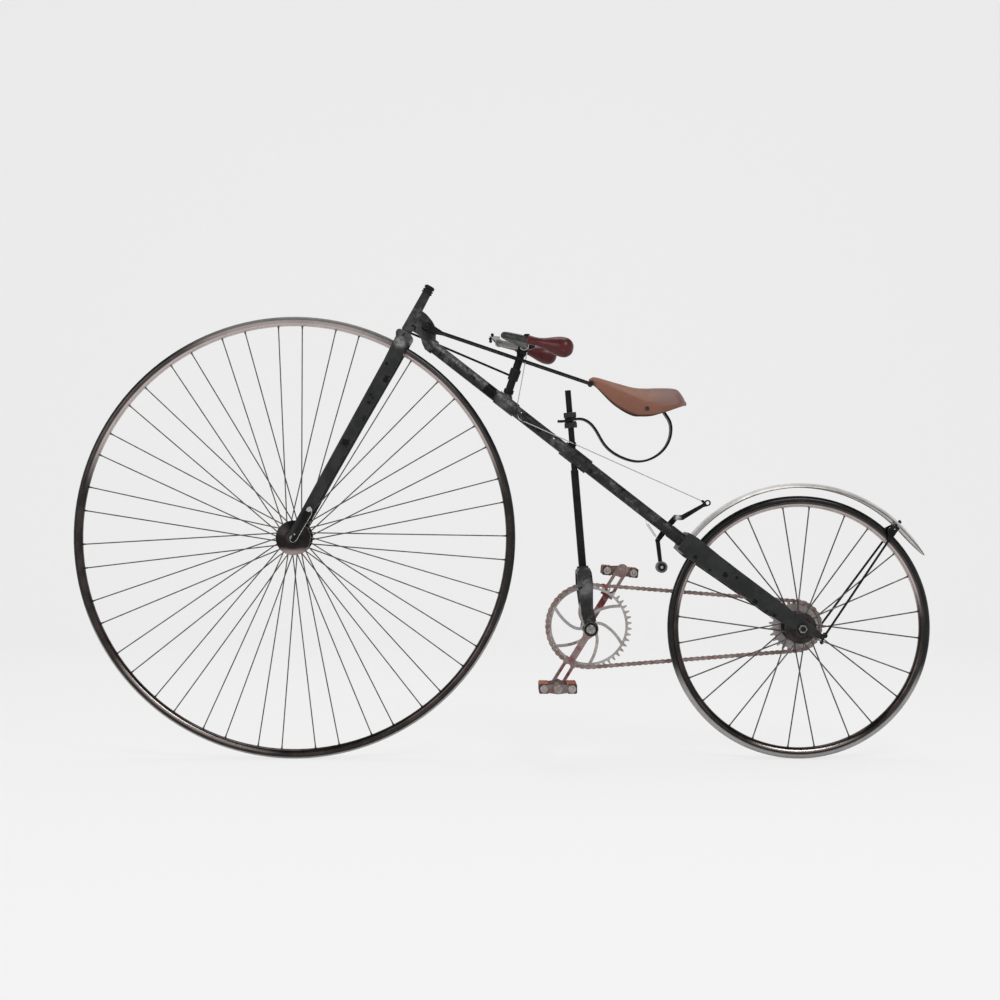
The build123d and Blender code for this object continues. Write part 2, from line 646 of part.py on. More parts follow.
SADDLE_BAR_Y = 19.5
NOSE_EYE = (-148.0, 10.5)
saddle_bar = hull_of((*NECK_BOLT, 11), (-489, 126.5, 2.8)) + hull_of((-489, 126.5, 2.8), (*NOSE_EYE, 2.6))
saddle_bar += Pos(*NOSE_EYE) * Circle(6)
saddle_bar -= Pos(*NECK_BOLT) * Circle(4)
saddle_bar -= Pos(*NOSE_EYE) * Circle(3)
node("saddle_bars", [plate(saddle_bar, side * SADDLE_BAR_Y, 4) for side in (-1, 1)])
node(
    "neck_bolt",
    cross_pin(NECK_BOLT, -26.5, 26.5, 4)
    + [hexagon_nut(NECK_BOLT, side * 24, 5, 13) for side in (-1, 1)]
    + [cross_pin(NECK_BOLT, side * 13, side * 17.5, 7) - cross_pin(NECK_BOLT, -30, 30, 4) for side in (-1, 1)],
)
node("nose_bolt", cross_pin(NOSE_EYE, -24, 24, 3))

SPRING_LINE = (
    (-224, -75.5), (-196, -73), (-167, -71), (-150, -80), (-116, -130), (-70, -161.5), (-38, -168), (-4, -159),
    (22, -137), (36, -100), (33, -76), (20, -55), (0, -22), (-44, -17),
)
spring = plate(trace(Spline(*SPRING_LINE), 5), 0, 34)
rod_hole = collar(SEAT_POST_TILT, SEAT_POST_CROSSING, 40, 140, SEAT_ROD_RADIUS)
node("saddle_spring", spring - rod_hole)


def clamp_nut(low, height):
    place = across(along(SEAT_POST_CROSSING, SEAT_POST_TILT, low), SEAT_POST_TILT)
    return extrude(place * Rectangle(28, 28), height) - rod_hole


node("spring_clamp", [clamp_nut(64.5, 11), clamp_nut(88.5, 11)])

LEATHER = 5.0  # thickness
SADDLE_ROWS = (  # x, crest z, shoulder half width and z, skirt half width and z
    (-152, 22.0, 12, 18.0, 12, 9.0),
    (-136, 25.5, 17, 15.0, 16.5, 2.0),
    (-93, 13.0, 36, -6.7, 34, -38.6),
    (-52, 1.8, 62, -25.4, 56, -61.5),
    (-24, -0.6, 78, -39.0, 70, -64.0),
    (4, 0.0, 86, -43.6, 78, -61.2),
    (44, -2.0, 86, -41.0, 80, -48.0),
    (59, -16.0, 72, -37.0, 66, -43.0),
    (66, -31.0, 50, -38.0, 47, -41.5),
)


def leather_section(x, crest, shoulder_width, shoulder, skirt_width, skirt):
    """An arch across the saddle: over the crest, down the shoulders and the skirts, and back inside."""
    brow = (0.62 * shoulder_width, crest - 0.26 * (crest - shoulder))
    thin = min(LEATHER, 0.3 * (crest - skirt))
    outside = [(0, crest), brow, (shoulder_width, shoulder), (skirt_width, skirt)]
    inside = [
        (skirt_width - thin, skirt), (shoulder_width - thin, shoulder - 0.3 * thin),
        (brow[0] - 0.4 * thin, brow[1] - thin), (0, crest - thin),
    ]
    right = outside + inside
    left = [(-y, z) for y, z in reversed(right[1:-1])]
    return Plane.YZ.offset(x) * polygon(right + left)


leather = loft([leather_section(*row) for row in SADDLE_ROWS], ruled=True)
node("saddle_leather", leather - cross_pin(NOSE_EYE, -30, 30, 3.3))

# ---- mudguard and its stays (body: frame)

GUARD_CENTRE = (333.5, -547.6)
GUARD_RADIUS = 330.0  # along its crest
GUARD_FROM, GUARD_TO = 137.0, 29.8  # degrees above the +X direction
GUARD_SWEEP = 48.0  # radius of its arched section
guard_path = Plane.XZ * Pos(*GUARD_CENTRE) * CenterArc((0, 0), GUARD_RADIUS, GUARD_FROM, GUARD_TO - GUARD_FROM)
guard_section = (Circle(GUARD_SWEEP) - Circle(GUARD_SWEEP - 1.4)) & Pos(0, 43) * Rectangle(56, 16)
guard_place = Plane(origin=guard_path @ 0, x_dir=(0, 1, 0), z_dir=guard_path % 0)
guard = sweep(guard_place * (Pos(0, -GUARD_SWEEP) * guard_section), path=guard_path)
STAY_FOOT = (380.0, -564.0)
STAY_TOP = (534.0, -346.0)
STRAP_Y = 24.0
STRAP_ANGLE = 46.4  # of the bolt that holds the strap, round the mudguard's centre
STRAP_CORNERS = (  # x, z, radius
    (548, -318.5, 4.5), (551, -323, 4), (536.5, -326, 6), (533.5, -350, 3),
)


def on_guard(radius, angle):
    x, z = turned((radius, 0), angle)
    return (GUARD_CENTRE[0] + x, GUARD_CENTRE[1] + z)


strap_side = hull_of(*STRAP_CORNERS) - Pos(546, -322) * Circle(2.2)
stays = rod(at(on_guard(316, STRAP_ANGLE)), at(on_guard(336, STRAP_ANGLE)), 2.2)
stays += rod(at(on_guard(330.6, STRAP_ANGLE)), at(on_guard(335, STRAP_ANGLE)), 4.2)
bridge = Pos(*on_guard(317, STRAP_ANGLE)) * Rot(0, 0, STRAP_ANGLE) * Rectangle(3, 13)
stays += plate(bridge, 0, 2 * STRAP_Y)
for side in (-1, 1):
    stays += plate(strap_side, side * STRAP_Y, 3)
    stays += rod(at(STAY_FOOT, side * 57.5), at(STAY_TOP, side * STRAP_Y), 2.6)
    stays += cross_pin(STAY_FOOT, side * 54.8, side * 60.5, 5.6)
node("mudguard", guard - rod(at(on_guard(310, STRAP_ANGLE)), at(on_guard(340, STRAP_ANGLE)), 2.6))
node("mudguard_stays", stays)

# ---- brake (body: frame)

LEVER_EYE = (121.7, -263.4)
LEVER_PIVOT = down_backbone(647)
LEVER_ELBOW = (49.0, -297.0)
LEVER_KNEE = (7.4, -350.2)
ROLLER = (14.7, -410.6)
UPPER_Y, MIDDLE_Y, LOWER_Y = 6.0, 19.5, 15.0  # of the lever's three arms
LEVER_THICKNESS = 4.0
upper = hull_of((*LEVER_EYE, 7.3), (112, -268.5, 4.5)) + hull_of((112, -268.5, 4), (63, -297, 5.9))
upper += hull_of((63, -297, 5.9), (*LEVER_ELBOW, 6))
upper -= Pos(*LEVER_EYE) * Circle(3.9)
middle = hull_of((*LEVER_ELBOW, 6.6), (*LEVER_PIVOT, 7)) + hull_of((*LEVER_PIVOT, 7), (*LEVER_KNEE, 5.4))
middle -= Pos(*LEVER_PIVOT) * Circle(4)
lower = hull_of((*LEVER_KNEE, 5), (*ROLLER, 4.5)) - Pos(*ROLLER) * Circle(3)
lever = plate(upper, UPPER_Y, LEVER_THICKNESS) + plate(middle, MIDDLE_Y, LEVER_THICKNESS)
lever += plate(lower, LOWER_Y, LEVER_THICKNESS)
lever += cross_pin(LEVER_ELBOW, UPPER_Y - 2, MIDDLE_Y + 2, 5.9)
lever += cross_pin(LEVER_KNEE, LOWER_Y - 2, MIDDLE_Y + 2, 4.9)
node("brake_lever", lever)
pivot = cross_pin(LEVER_PIVOT, BACKBONE_RADIUS - 0.5, MIDDLE_Y + 4.5, 4) - backbone_outside
node("brake_pivot", pivot)
node("brake_roller", cross_pin(ROLLER, -12, 12, 13.2) - cross_pin(ROLLER, -13, 13, 3))
node("brake_roller_pin", cross_pin(ROLLER, -14, 18, 3))
cord = round_bar([CORD_START, CORD_INSIDE, CORD_OUTSIDE, CORD_END], [5, 5], CORD_RADIUS)
node("brake_cord", cord)

CORD_TURNS = (-12.2, -14.8, -17.4)  # y of each turn on the handlebar, from the post
turn_radius = BAR_RADIUS + CORD_RADIUS
winding = crooked * rod((turn_radius, -14.8, 0), (turn_radius - 1.3, -14.8, -8), CORD_RADIUS)
for y in CORD_TURNS:
    winding += crooked * Pos(0, y, 0) * Rot(90, 0, 0) * Torus(turn_radius, CORD_RADIUS + 0.3)
node("cord_turns", winding - bar)

# ---------------------------------------------------------------- files

os.makedirs("parts", exist_ok=True)
for name, shape in NODES.items():
    export_step(shape, "parts/" + name + ".step")
print(len(NODES), "nodes")
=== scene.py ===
"""Finish, leather, trim, light and camera for a rear-driven penny farthing bicycle.

The bicycle faces -X, its left side is -Y and +Z is up; every length is in metres, and a place taken
from the CAD model is written in millimetres through mm().
"""

import json
import math

import bmesh
import bpy
from mathutils import Matrix, Vector


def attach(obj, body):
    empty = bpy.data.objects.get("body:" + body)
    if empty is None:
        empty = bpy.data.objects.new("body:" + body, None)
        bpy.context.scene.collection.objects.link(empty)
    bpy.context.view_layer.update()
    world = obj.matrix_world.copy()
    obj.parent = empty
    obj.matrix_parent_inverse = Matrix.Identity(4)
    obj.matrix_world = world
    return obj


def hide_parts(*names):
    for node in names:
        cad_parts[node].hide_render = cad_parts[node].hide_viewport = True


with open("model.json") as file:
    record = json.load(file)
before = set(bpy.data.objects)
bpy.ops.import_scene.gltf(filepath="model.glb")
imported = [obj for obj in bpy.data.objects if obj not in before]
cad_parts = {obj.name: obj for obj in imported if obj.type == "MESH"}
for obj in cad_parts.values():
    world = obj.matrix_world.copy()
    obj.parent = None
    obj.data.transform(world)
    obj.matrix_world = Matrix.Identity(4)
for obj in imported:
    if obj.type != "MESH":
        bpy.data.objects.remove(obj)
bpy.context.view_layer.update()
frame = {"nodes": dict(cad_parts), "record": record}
NODES = frame["nodes"]


def mm(*place):
    """A place or a length of the CAD model, in metres."""
    metres = [value / 1000 for value in place]
    return metres[0] if len(metres) == 1 else Vector(metres)


GROUND = mm(-851)
FRONT_AXLE = mm(-829, 0, -343)
REAR_AXLE = mm(330, 0, -549)
CRANK_AXLE = mm(-151, 0, -549)


def tilted(degrees):
    """The direction of a tube in the middle plane that leans back from upright by an angle."""
    return Vector((math.sin(math.radians(degrees)), 0, math.cos(math.radians(degrees))))


FORK_AXIS, POST_AXIS, SEAT_AXIS = tilted(28.4), tilted(18.5), tilted(-4.8)
SEAT_CROSSING = mm(-188.01, 0, -154.91)  # of the seat post and the backbone

# ---------------- a small kit for node trees

SOFT_EDGE = 0.0006  # how wide the shading rounds an edge


class Nodes:
    """The node tree of a material or of the world."""

    def __init__(self, owner):
        owner.use_nodes = True
        self.tree = owner.node_tree

    def put(self, socket, value):
        if isinstance(value, bpy.types.NodeSocket):
            self.tree.links.new(value, socket)
        elif socket.type == "RGBA":
            socket.default_value = (*value[:3], 1)
        else:
            socket.default_value = value

    def add(self, kind, inputs, output=0, **settings):
        """One output of a new node, whose inputs are linked or set by their numbers or names."""
        made = self.tree.nodes.new(kind)
        for setting, value in settings.items():
            setattr(made, setting, value)
        for socket, value in inputs.items():
            self.put(made.inputs[socket], value)
        return made.outputs[output]

    def math(self, operation, a, b, clamp=True):
        return self.add("ShaderNodeMath", {0: a, 1: b}, operation=operation, use_clamp=clamp)

    def times(self, a, b):
        return self.math("MULTIPLY", a, b)

    def most(self, a, b):
        return self.math("MAXIMUM", a, b)

    def mix(self, factor, a, b):
        """A colour between two."""
        return self.add("ShaderNodeMix", {0: factor, 6: a, 7: b}, 2, data_type="RGBA")

    def seen(self):
        """1 where a ray comes from the camera, a reflection or a transmission: all see one background."""
        total = 0
        for name in ("Is Camera Ray", "Is Glossy Ray", "Is Transmission Ray"):
            total = self.most(total, self.add("ShaderNodeLightPath", {}, name))
        return total

    def surface(self, output, factor, first, second):
        """The first shader where the factor is 0 and the second where it is 1, as the output."""
        mix = self.add("ShaderNodeMixShader", {0: factor, 1: first, 2: second})
        self.put(self.tree.nodes[output].inputs[0], mix)


class Surface(Nodes):
    """A material built from noises in the frame's own coordinates."""

    def __init__(self, name, **constants):
        self.material = bpy.data.materials.new(name)
        super().__init__(self.material)
        self.shader = self.tree.nodes["Principled BSDF"]
        self.place = self.add("ShaderNodeTexCoord", {}, "Object")
        for socket, value in constants.items():
            self.shader.inputs[socket.replace("_", " ")].default_value = value

    def noise(self, scale, detail=4.0, rough=0.55, distortion=0.0, stretch=(1, 1, 1), turn=(0, 0, 0)):
        """Noise whose features are about 1/scale metres across."""
        turn = [math.radians(angle) for angle in turn]
        place = self.add("ShaderNodeMapping", {"Vector": self.place, "Scale": stretch, "Rotation": turn})
        inputs = {"Scale": scale, "Detail": detail, "Roughness": rough, "Distortion": distortion}
        return self.add("ShaderNodeTexNoise", {"Vector": place, **inputs}, "Fac")

    def cells(self, scale):
        inputs = {"Vector": self.place, "Scale": scale}
        return self.add("ShaderNodeTexVoronoi", inputs, "Distance", feature="F1")

    def fit(self, value, low, high, to_low=0.0, to_high=1.0):
        """The value as it goes from low to high, eased and held past both."""
        inputs = {"Value": value, "From Min": low, "From Max": high, "To Min": to_low, "To Max": to_high}
        return self.add("ShaderNodeMapRange", inputs, interpolation_type="SMOOTHSTEP")

    def blend(self, factor, a, b):
        """A number between two."""
        return self.add("ShaderNodeMix", {0: factor, 2: a, 3: b}, data_type="FLOAT")

    def vector(self, operation, *inputs, output="Vector"):
        return self.add("ShaderNodeVectorMath", dict(enumerate(inputs)), output, operation=operation)

    def number(self, operation, *inputs):
        """A vector operation that gives a number, such as a distance."""
        return self.vector(operation, *inputs, output="Value")

    def near(self, centre, radius, soft, through=0.2, ragged=0.0):
        """1 inside a ball of the frame that is drawn out in y, fading to 0 over its last part."""
        squeeze = Vector((1, through, 1))
        distance = self.number("DISTANCE", self.vector("MULTIPLY", self.place, squeeze), centre * squeeze)
        if ragged:
            torn = self.fit(self.noise(260, 3, 0.6), 0.3, 0.7, 0.0, ragged * radius)
            distance = self.math("ADD", distance, torn, clamp=False)
        return self.fit(distance, radius, radius - soft)

    def strip(self, start, end, radius, soft):
        """1 beside a line between two places, fading to 0 at the radius."""
        span = end - start
        gone = self.vector("SUBTRACT", self.place, start)
        part = self.times(self.number("DOT_PRODUCT", gone, span), 1 / span.length_squared)
        foot = self.add("ShaderNodeVectorMath", {0: span, "Scale": part}, operation="SCALE")
        return self.fit(self.number("DISTANCE", gone, foot), radius, radius - soft)

    def axis(self, letter):
        """One coordinate of a place."""
        return self.add("ShaderNodeSeparateXYZ", {0: self.place}, letter)

    def up(self):
        """How far a face looks up, from -1 to 1."""
        return self.add("ShaderNodeSeparateXYZ", {0: self.add("ShaderNodeTexCoord", {}, "Normal")}, "Z")

    def round_axle(self, axle, heading):
        """How far a place lies from an axle, and how far along a heading square to it."""
        gone = self.vector("MULTIPLY", self.vector("SUBTRACT", self.place, axle), (1, 0, 1))
        return self.number("LENGTH", gone), self.number("DOT_PRODUCT", gone, heading)

    def rounded(self, width):
        """The normal over slightly rounded edges."""
        return self.add("ShaderNodeBevel", {"Radius": width}, samples=6)

    def edges(self, width):
        """1 along the sharp edges of the shape."""
        normal = self.add("ShaderNodeNewGeometry", {}, "Normal")
        return self.fit(self.number("DOT_PRODUCT", self.rounded(width), normal), 0.995, 0.90)

    def relief(self, *heights):
        """Bump from (height, distance in metres) pairs, over slightly rounded edges."""
        normal = self.rounded(SOFT_EDGE)
        for height, distance in heights:
            normal = self.add("ShaderNodeBump", {"Distance": distance, "Height": height, "Normal": normal})
        self.set("Normal", normal)

    def set(self, socket, value):
        self.put(self.shader.inputs[socket], value)

    def finish(self, colour, grain, smooth, rough, *heights):
        """The closing part of most materials: colour, a roughness that follows a noise, and relief."""
        self.set("Base Color", colour)
        self.set("Roughness", self.blend(self.fit(grain, 0.3, 0.7), smooth, rough))
        self.relief(*heights)
        return self.material


# ---------------- camera, light and stage

CAMERA_DISTANCE = 4.0  # from the plane of the wheels
CAMERA_PLACE = mm(-356.5, -4000, -256.5)
PICTURE_WIDTH = 2.3  # of the plane of the wheels, across the whole picture
SENSOR = 36.0


def shown(name, data):
    """A new object of the scene."""
    made = bpy.data.objects.new(name, data)
    bpy.context.scene.collection.objects.link(made)
    return made


camera = shown("camera", bpy.data.cameras.new("camera"))
camera.location = CAMERA_PLACE
camera.rotation_euler = (math.radians(90), 0, 0)
camera.data.sensor_width = SENSOR
camera.data.lens = SENSOR * CAMERA_DISTANCE / PICTURE_WIDTH
camera.data.dof.use_dof = False
bpy.context.scene.camera = camera
bpy.context.scene.view_settings.view_transform = "Standard"

AIM = mm(-350, 0, -350)
UP = Vector((0, 0, 1))
SIDES = (-1, 1)  # the bicycle's left and its right
LAMPS = (  # name, place, width, power
    ("key", (1.2, -3.4, 3.0), 1.8, 92),
    ("fill", (-3.4, -3.0, 1.4), 2.2, 40),
    ("top", (-0.4, 0.9, 3.2), 2.2, 46),
)
for name, place, width, power in LAMPS:
    lamp = bpy.data.lights.new(name, "AREA")
    lamp.size = width
    lamp.energy = power
    lamp_object = shown(name, lamp)
    lamp_object.location = place
    lamp_object.rotation_euler = (AIM - Vector(place)).to_track_quat("-Z", "Y").to_euler()

PALE = (0.852, 0.852, 0.85, 1)
DIM = (0.10, 0.098, 0.098, 1)  # of the studio's ceiling
GLOW = (0.866, 0.865, 0.863, 1)  # of the backdrop by itself
GLOW_SHARE = 0.8  # of what rays see of the backdrop
PALE_UP_TO, DIM_FROM = 0.28, 0.55  # heights on a unit sphere round the bicycle
DAYLIGHT, DAYLIGHT_STRENGTH = (0.985, 0.99, 1, 1), 0.62


world = bpy.data.worlds.new("studio")
bpy.context.scene.world = world
studio = Nodes(world)
daylight = studio.tree.nodes["Background"]
daylight.inputs["Color"].default_value = DAYLIGHT
daylight.inputs["Strength"].default_value = DAYLIGHT_STRENGTH
direction = studio.add("ShaderNodeTexCoord", {}, "Generated")
height = studio.add("ShaderNodeSeparateXYZ", {0: direction}, "Z")
dimming = studio.add("ShaderNodeMapRange", {"Value": height, "From Min": PALE_UP_TO, "From Max": DIM_FROM})
sky = studio.add("ShaderNodeBackground", {"Color": studio.mix(dimming, PALE, DIM)})
studio.surface("World Output", studio.seen(), daylight.outputs[0], sky)


def backdrop():
    """A pale floor that curves up into a wall far behind."""
    front, bend, radius, high, half, steps = -7.0, 3.2, 1.6, 4.5, 9.0, 12
    profile = [(front, GROUND), (bend, GROUND)]
    for step in range(1, steps + 1):
        angle = math.radians(90 * step / steps)
        profile.append((bend + radius * math.sin(angle), GROUND + radius * (1 - math.cos(angle))))
    profile.append((bend + radius, high))
    mesh = bpy.data.meshes.new("backdrop")
    verts = [(side * half, y, z) for side in SIDES for y, z in profile]
    count = len(profile)
    faces = [(i, count + i, count + i + 1, i + 1) for i in range(count - 1)]
    mesh.from_pydata(verts, [], faces)
    mesh.shade_smooth()
    s = Surface("backdrop", Base_Color=PALE, Roughness=0.85, Specular_IOR_Level=0.1)
    glow = s.add("ShaderNodeEmission", {"Color": GLOW})
    s.surface("Material Output", s.times(s.seen(), GLOW_SHARE), s.shader.outputs[0], glow)
    mesh.materials.append(s.material)
    made = shown("backdrop", mesh)


backdrop()

# ---------------- materials


def enamel(name, base, worn, gloss=0.12, bare=(0.22, 0.22, 0.215), placed=False, pitted=0.0):
    """Old black enamel, mottled and rubbed to grey metal at its edges; placed wear with painted highlights,
    and pitting, are added.
    """
    s = Surface(name, IOR=1.5, Specular_IOR_Level=gloss)
    mottle = s.noise(30, 5, 0.6)
    fine = s.noise(420, 3, 0.6)
    breaks = s.fit(s.noise(120, 4, 0.6), 0.40, 0.60)
    wear_and_highlight = s.times(s.edges(0.0013), s.times(breaks, 0.55))
    chips = s.fit(s.noise(95, 4, 0.6, 0.4), 0.70, 0.715)
    if placed:
        # placed wear, and painted highlights among these spots
        for *centre, radius, strength in WEAR_AND_HIGHLIGHTS:
            near = s.near(mm(*centre), mm(radius), mm(0.7 * radius))
            spot = s.times(near, s.fit(breaks, 0, 1, 0.45, 1))
            wear_and_highlight = s.most(wear_and_highlight, s.times(spot, strength))
        # painted highlight: a broken pale line along the backbone's upper side
        for start, end in PAINTED_HIGHLIGHT_LINES:
            line = s.times(s.strip(start, end, 0.011, 0.009), s.fit(breaks, 0, 1, 0.15, 0.5))
            wear_and_highlight = s.most(wear_and_highlight, line)
        for *centre, radius in CHIPS:
            chips = s.most(chips, s.near(mm(*centre), mm(1.5 * radius), mm(0.12 * radius), 0.2, 0.6))
        chips = s.most(chips, s.near(DARK_BAND, 0.021, 0.002, 0.6, 0.2))
    if pitted:
        coarse = s.noise(48, 5, 0.62, 0.5)
        wear_and_highlight = s.most(wear_and_highlight, s.fit(coarse, 0.52, 0.66, 0, pitted))
        chips = s.most(chips, s.fit(coarse, 0.40, 0.36, 0, 0.9))
    colour = s.mix(s.fit(mottle, 0.35, 0.65), base, worn)
    colour = s.mix(chips, s.mix(wear_and_highlight, colour, bare), (0.003, 0.003, 0.0032))
    s.set("Metallic", s.times(wear_and_highlight, 0.6))
    return s.finish(colour, fine, 0.36, 0.5, (mottle, 0.0004), (chips, 0.0002), (fine, 0.0001))


def steel(name, dark, light, rough=(0.28, 0.5), metallic=0.85, rust=None, rust_amount=0.0):
    """Bare metal with stains, fine scratches and a little rust."""
    s = Surface(name, Metallic=metallic)
    stain = s.noise(60, 5, 0.6)
    fine = s.noise(700, 3, 0.6)
    colour = s.mix(s.fit(stain, 0.3, 0.7), dark, light)
    heights = ((stain, 0.0002), (fine, 0.00006))
    if not rust:
        return s.finish(colour, fine, *rough, *heights)
    patch = s.fit(s.noise(102, 6, 0.7, 0.5), 0.62 - rust_amount, 0.70 - rust_amount)
    s.set("Base Color", s.mix(patch, colour, rust))
    s.set("Metallic", s.blend(patch, metallic, 0.15))
    s.set("Roughness", s.blend(patch, rough[0], 0.72))
    s.relief(*heights)
    return s.material


def rusted(name, metal, brown, red, red_amount, scale, painted=()):
    """Steel whose paint and plating have given way to brown rust and deep red patches."""
    s = Surface(name)
    patch = s.noise(scale, 6, 0.7, 0.6)
    reds = s.fit(s.noise(scale * 0.45, 5, 0.65), 0.60 - red_amount, 0.68 - red_amount)
    fine = s.noise(520, 4, 0.65)
    colour = s.mix(reds, s.mix(s.fit(patch, 0.40, 0.58), metal, brown), red)
    for *centre, radius, strength in painted:
        left = s.times(s.near(mm(*centre), mm(radius), mm(0.4 * radius), 0.1, 0.5), strength)
        colour = s.mix(left, colour, (0.13, 0.008, 0.010))
    colour = s.mix(s.fit(fine, 0.55, 0.75), colour, (0.05, 0.03, 0.028))
    s.set("Metallic", s.fit(patch, 0.55, 0.40, 0.1, 0.7))
    return s.finish(colour, fine, 0.38, 0.62, (patch, 0.0006), (fine, 0.0002))


def tyre_rubber(name, axle, reflection_radius, tread, top_reflection_amount=0.0):
    """Glossy black rubber, greyed outside a radius on the low half by a painted reflection of the pale floor,
    and a little at the top by a painted reflection of the room.
    """
    s = Surface(name, IOR=1.5, Specular_IOR_Level=0.2, Coat_Weight=0.1, Coat_Roughness=0.08)
    haze = s.noise(30, 5, 0.6)
    fine = s.noise(500, 3, 0.6)
    radius, high = s.round_axle(axle, UP)
    # painted reflection: grey where the tyre faces down to the floor, and a little where it faces up
    flank = s.fit(radius, reflection_radius, reflection_radius + 0.4 * (tread - reflection_radius))
    low_reflection = s.times(flank, s.fit(high, -0.25 * tread, -0.52 * tread))
    crown_reflection = s.fit(high, 0.80 * tread, 0.98 * tread, 0, top_reflection_amount)
    tyre_reflection = s.times(s.most(low_reflection, crown_reflection), s.fit(haze, 0.2, 0.6, 0.8, 1))
    clean = s.mix(s.fit(haze, 0.4, 0.7), (0.004, 0.004, 0.004), (0.011, 0.010, 0.010))
    s.set("Base Color", s.mix(tyre_reflection, clean, (0.30, 0.295, 0.285)))
    s.set("Roughness", s.blend(tyre_reflection, s.blend(s.fit(haze, 0.35, 0.65), 0.18, 0.30), 0.55))
    s.relief((haze, 0.0003), (fine, 0.00006))
    return s.material


def plated_rim(name, axle, inner, outer, reflection_from, reflection_to, highlight_way, crown_reflection=0.0):
    """A rim's plate: stained dark brown, with a painted reflection in pinkish plate colour on its upper lip
    and over the top, and a painted highlight along its flank one way.
    """
    s = Surface(name, Metallic=0.85, Coat_Weight=0.3, Coat_Roughness=0.12)
    cloud = s.noise(24, 5, 0.6)
    fine = s.noise(420, 3, 0.6)
    radius, high = s.round_axle(axle, UP)
    width = outer - inner
    # painted reflection of the pale floor: pinkish plate colour on the lip of the upper part, and across the
    # whole width at the top
    lip = s.fit(radius, inner + 0.66 * width, inner + 0.42 * width, 0.05, 1)
    painted_reflection = s.times(lip, s.fit(high, reflection_from, reflection_to))
    painted_reflection = s.most(painted_reflection, s.fit(high, 0.83 * outer, 0.97 * outer, 0, crown_reflection))
    painted_reflection = s.times(painted_reflection, s.fit(cloud, 0.2, 0.55, 0.78, 1))
    stained = s.mix(s.fit(cloud, 0.40, 0.65), (0.013, 0.010, 0.009), (0.040, 0.028, 0.025))
    spots = s.times(s.fit(s.noise(60, 4, 0.6), 0.60, 0.70), 0.7)
    stained = s.mix(spots, stained, (0.060, 0.018, 0.016))
    colour = s.mix(painted_reflection, stained, (0.50, 0.435, 0.42))
    # painted highlight: a pale line along the middle of the flank, on the side the heading points to
    below_flank = s.fit(radius, inner + 0.3 * width, inner + 0.5 * width)
    flank = s.times(below_flank, s.fit(radius, inner + 0.9 * width, inner + 0.6 * width))
    bright = s.fit(s.round_axle(axle, highlight_way)[1], 0.90 * inner, 0.985 * inner)
    painted_highlight = s.times(s.times(flank, bright), 0.7)
    colour = s.mix(painted_highlight, colour, (0.42, 0.37, 0.35))
    return s.finish(colour, fine, 0.20, 0.30, (cloud, 0.00015), (fine, 0.00003))


def hub_plate(name, axle):
    """Dark mirror-finished steel, with a painted reflection of the floor in pinkish plate colour on the low
    part of the dish.
    """
    s = Surface(name, Metallic=0.85)
    cloud = s.noise(45, 5, 0.6)
    fine = s.noise(700, 3, 0.6)
    radius, high = s.round_axle(axle, UP)
    dark = s.mix(s.fit(cloud, 0.3, 0.7), (0.010, 0.008, 0.008), (0.024, 0.019, 0.018))
    # painted reflection of the pale floor on the low part of the dish
    painted_reflection = s.times(s.fit(high, mm(-19), mm(-34)), s.fit(radius, mm(22), mm(30)))
    painted_reflection = s.times(painted_reflection, s.fit(cloud, 0.25, 0.6, 0.6, 0.95))
    colour = s.mix(painted_reflection, dark, (0.34, 0.275, 0.26))
    return s.finish(colour, fine, 0.18, 0.30, (cloud, 0.00015), (fine, 0.00004))


def nickel(name, light, dull, metallic=0.9):
    """Old nickel plate: clouded, with a few fine pits."""
    s = Surface(name, Metallic=metallic)
    cloud = s.noise(26, 5, 0.6)
    pits = s.fit(s.noise(240, 4, 0.7), 0.68, 0.74)
    colour = s.mix(s.fit(cloud, 0.35, 0.65), light, dull)
    colour = s.mix(s.times(pits, 0.5), colour, tuple(0.4 * value for value in dull))
    return s.finish(colour, cloud, 0.26, 0.4, (cloud, 0.0002), (pits, 0.00004))


def bar_metal(name):
    """The bar's plate: gone to dark greenish steel on the left arm, silver grey and grained on the right."""
    s = Surface(name, Metallic=0.8)
    grain = s.noise(190, 4, 0.7)
    right = s.fit(s.axis("Y"), 0.012, 0.03)
    spread = s.fit(grain, 0.35, 0.65)
    dark = s.mix(spread, (0.030, 0.033, 0.031), (0.065, 0.068, 0.064))
    bright = s.mix(spread, (0.045, 0.045, 0.044), (0.21, 0.21, 0.20))
    return s.finish(s.mix(right, dark, bright), grain, 0.3, 0.5, (grain, 0.0003))


def wood(name):
    """Turned handgrips in dark red varnish, rubbed lighter in patches."""
    s = Surface(name, IOR=1.5, Specular_IOR_Level=0.2, Coat_Weight=0.15, Coat_Roughness=0.16)
    grain = s.noise(60, 5, 0.6, 1.2, stretch=(1.0, 7.0, 7.0), turn=(0, 13, 0))
    wear = s.fit(s.noise(70, 5, 0.7), 0.58, 0.72)
    colour = s.mix(s.fit(grain, 0.35, 0.65), (0.040, 0.005, 0.006), (0.085, 0.009, 0.011))
    colour = s.mix(s.times(wear, 0.4), colour, (0.15, 0.03, 0.026))
    return s.finish(colour, grain, 0.32, 0.42, (grain, 0.00015))


def pedal_rubber(name):
    """Crumbled dark rubber, orange on what faces up."""
    s = Surface(name)
    patch = s.noise(75, 6, 0.7, 0.4)
    fine = s.noise(600, 4, 0.7)
    # orange by how far a face looks up
    worn = s.times(s.fit(s.up(), 0.2, 0.75), s.fit(patch, 0.62, 0.40, 0.3, 1))
    colour = s.mix(worn, (0.060, 0.020, 0.017), (0.40, 0.105, 0.045))
    colour = s.mix(s.fit(fine, 0.58, 0.72), colour, (0.03, 0.020, 0.018))
    return s.finish(colour, fine, 0.6, 0.85, (patch, 0.0008), (fine, 0.0003))


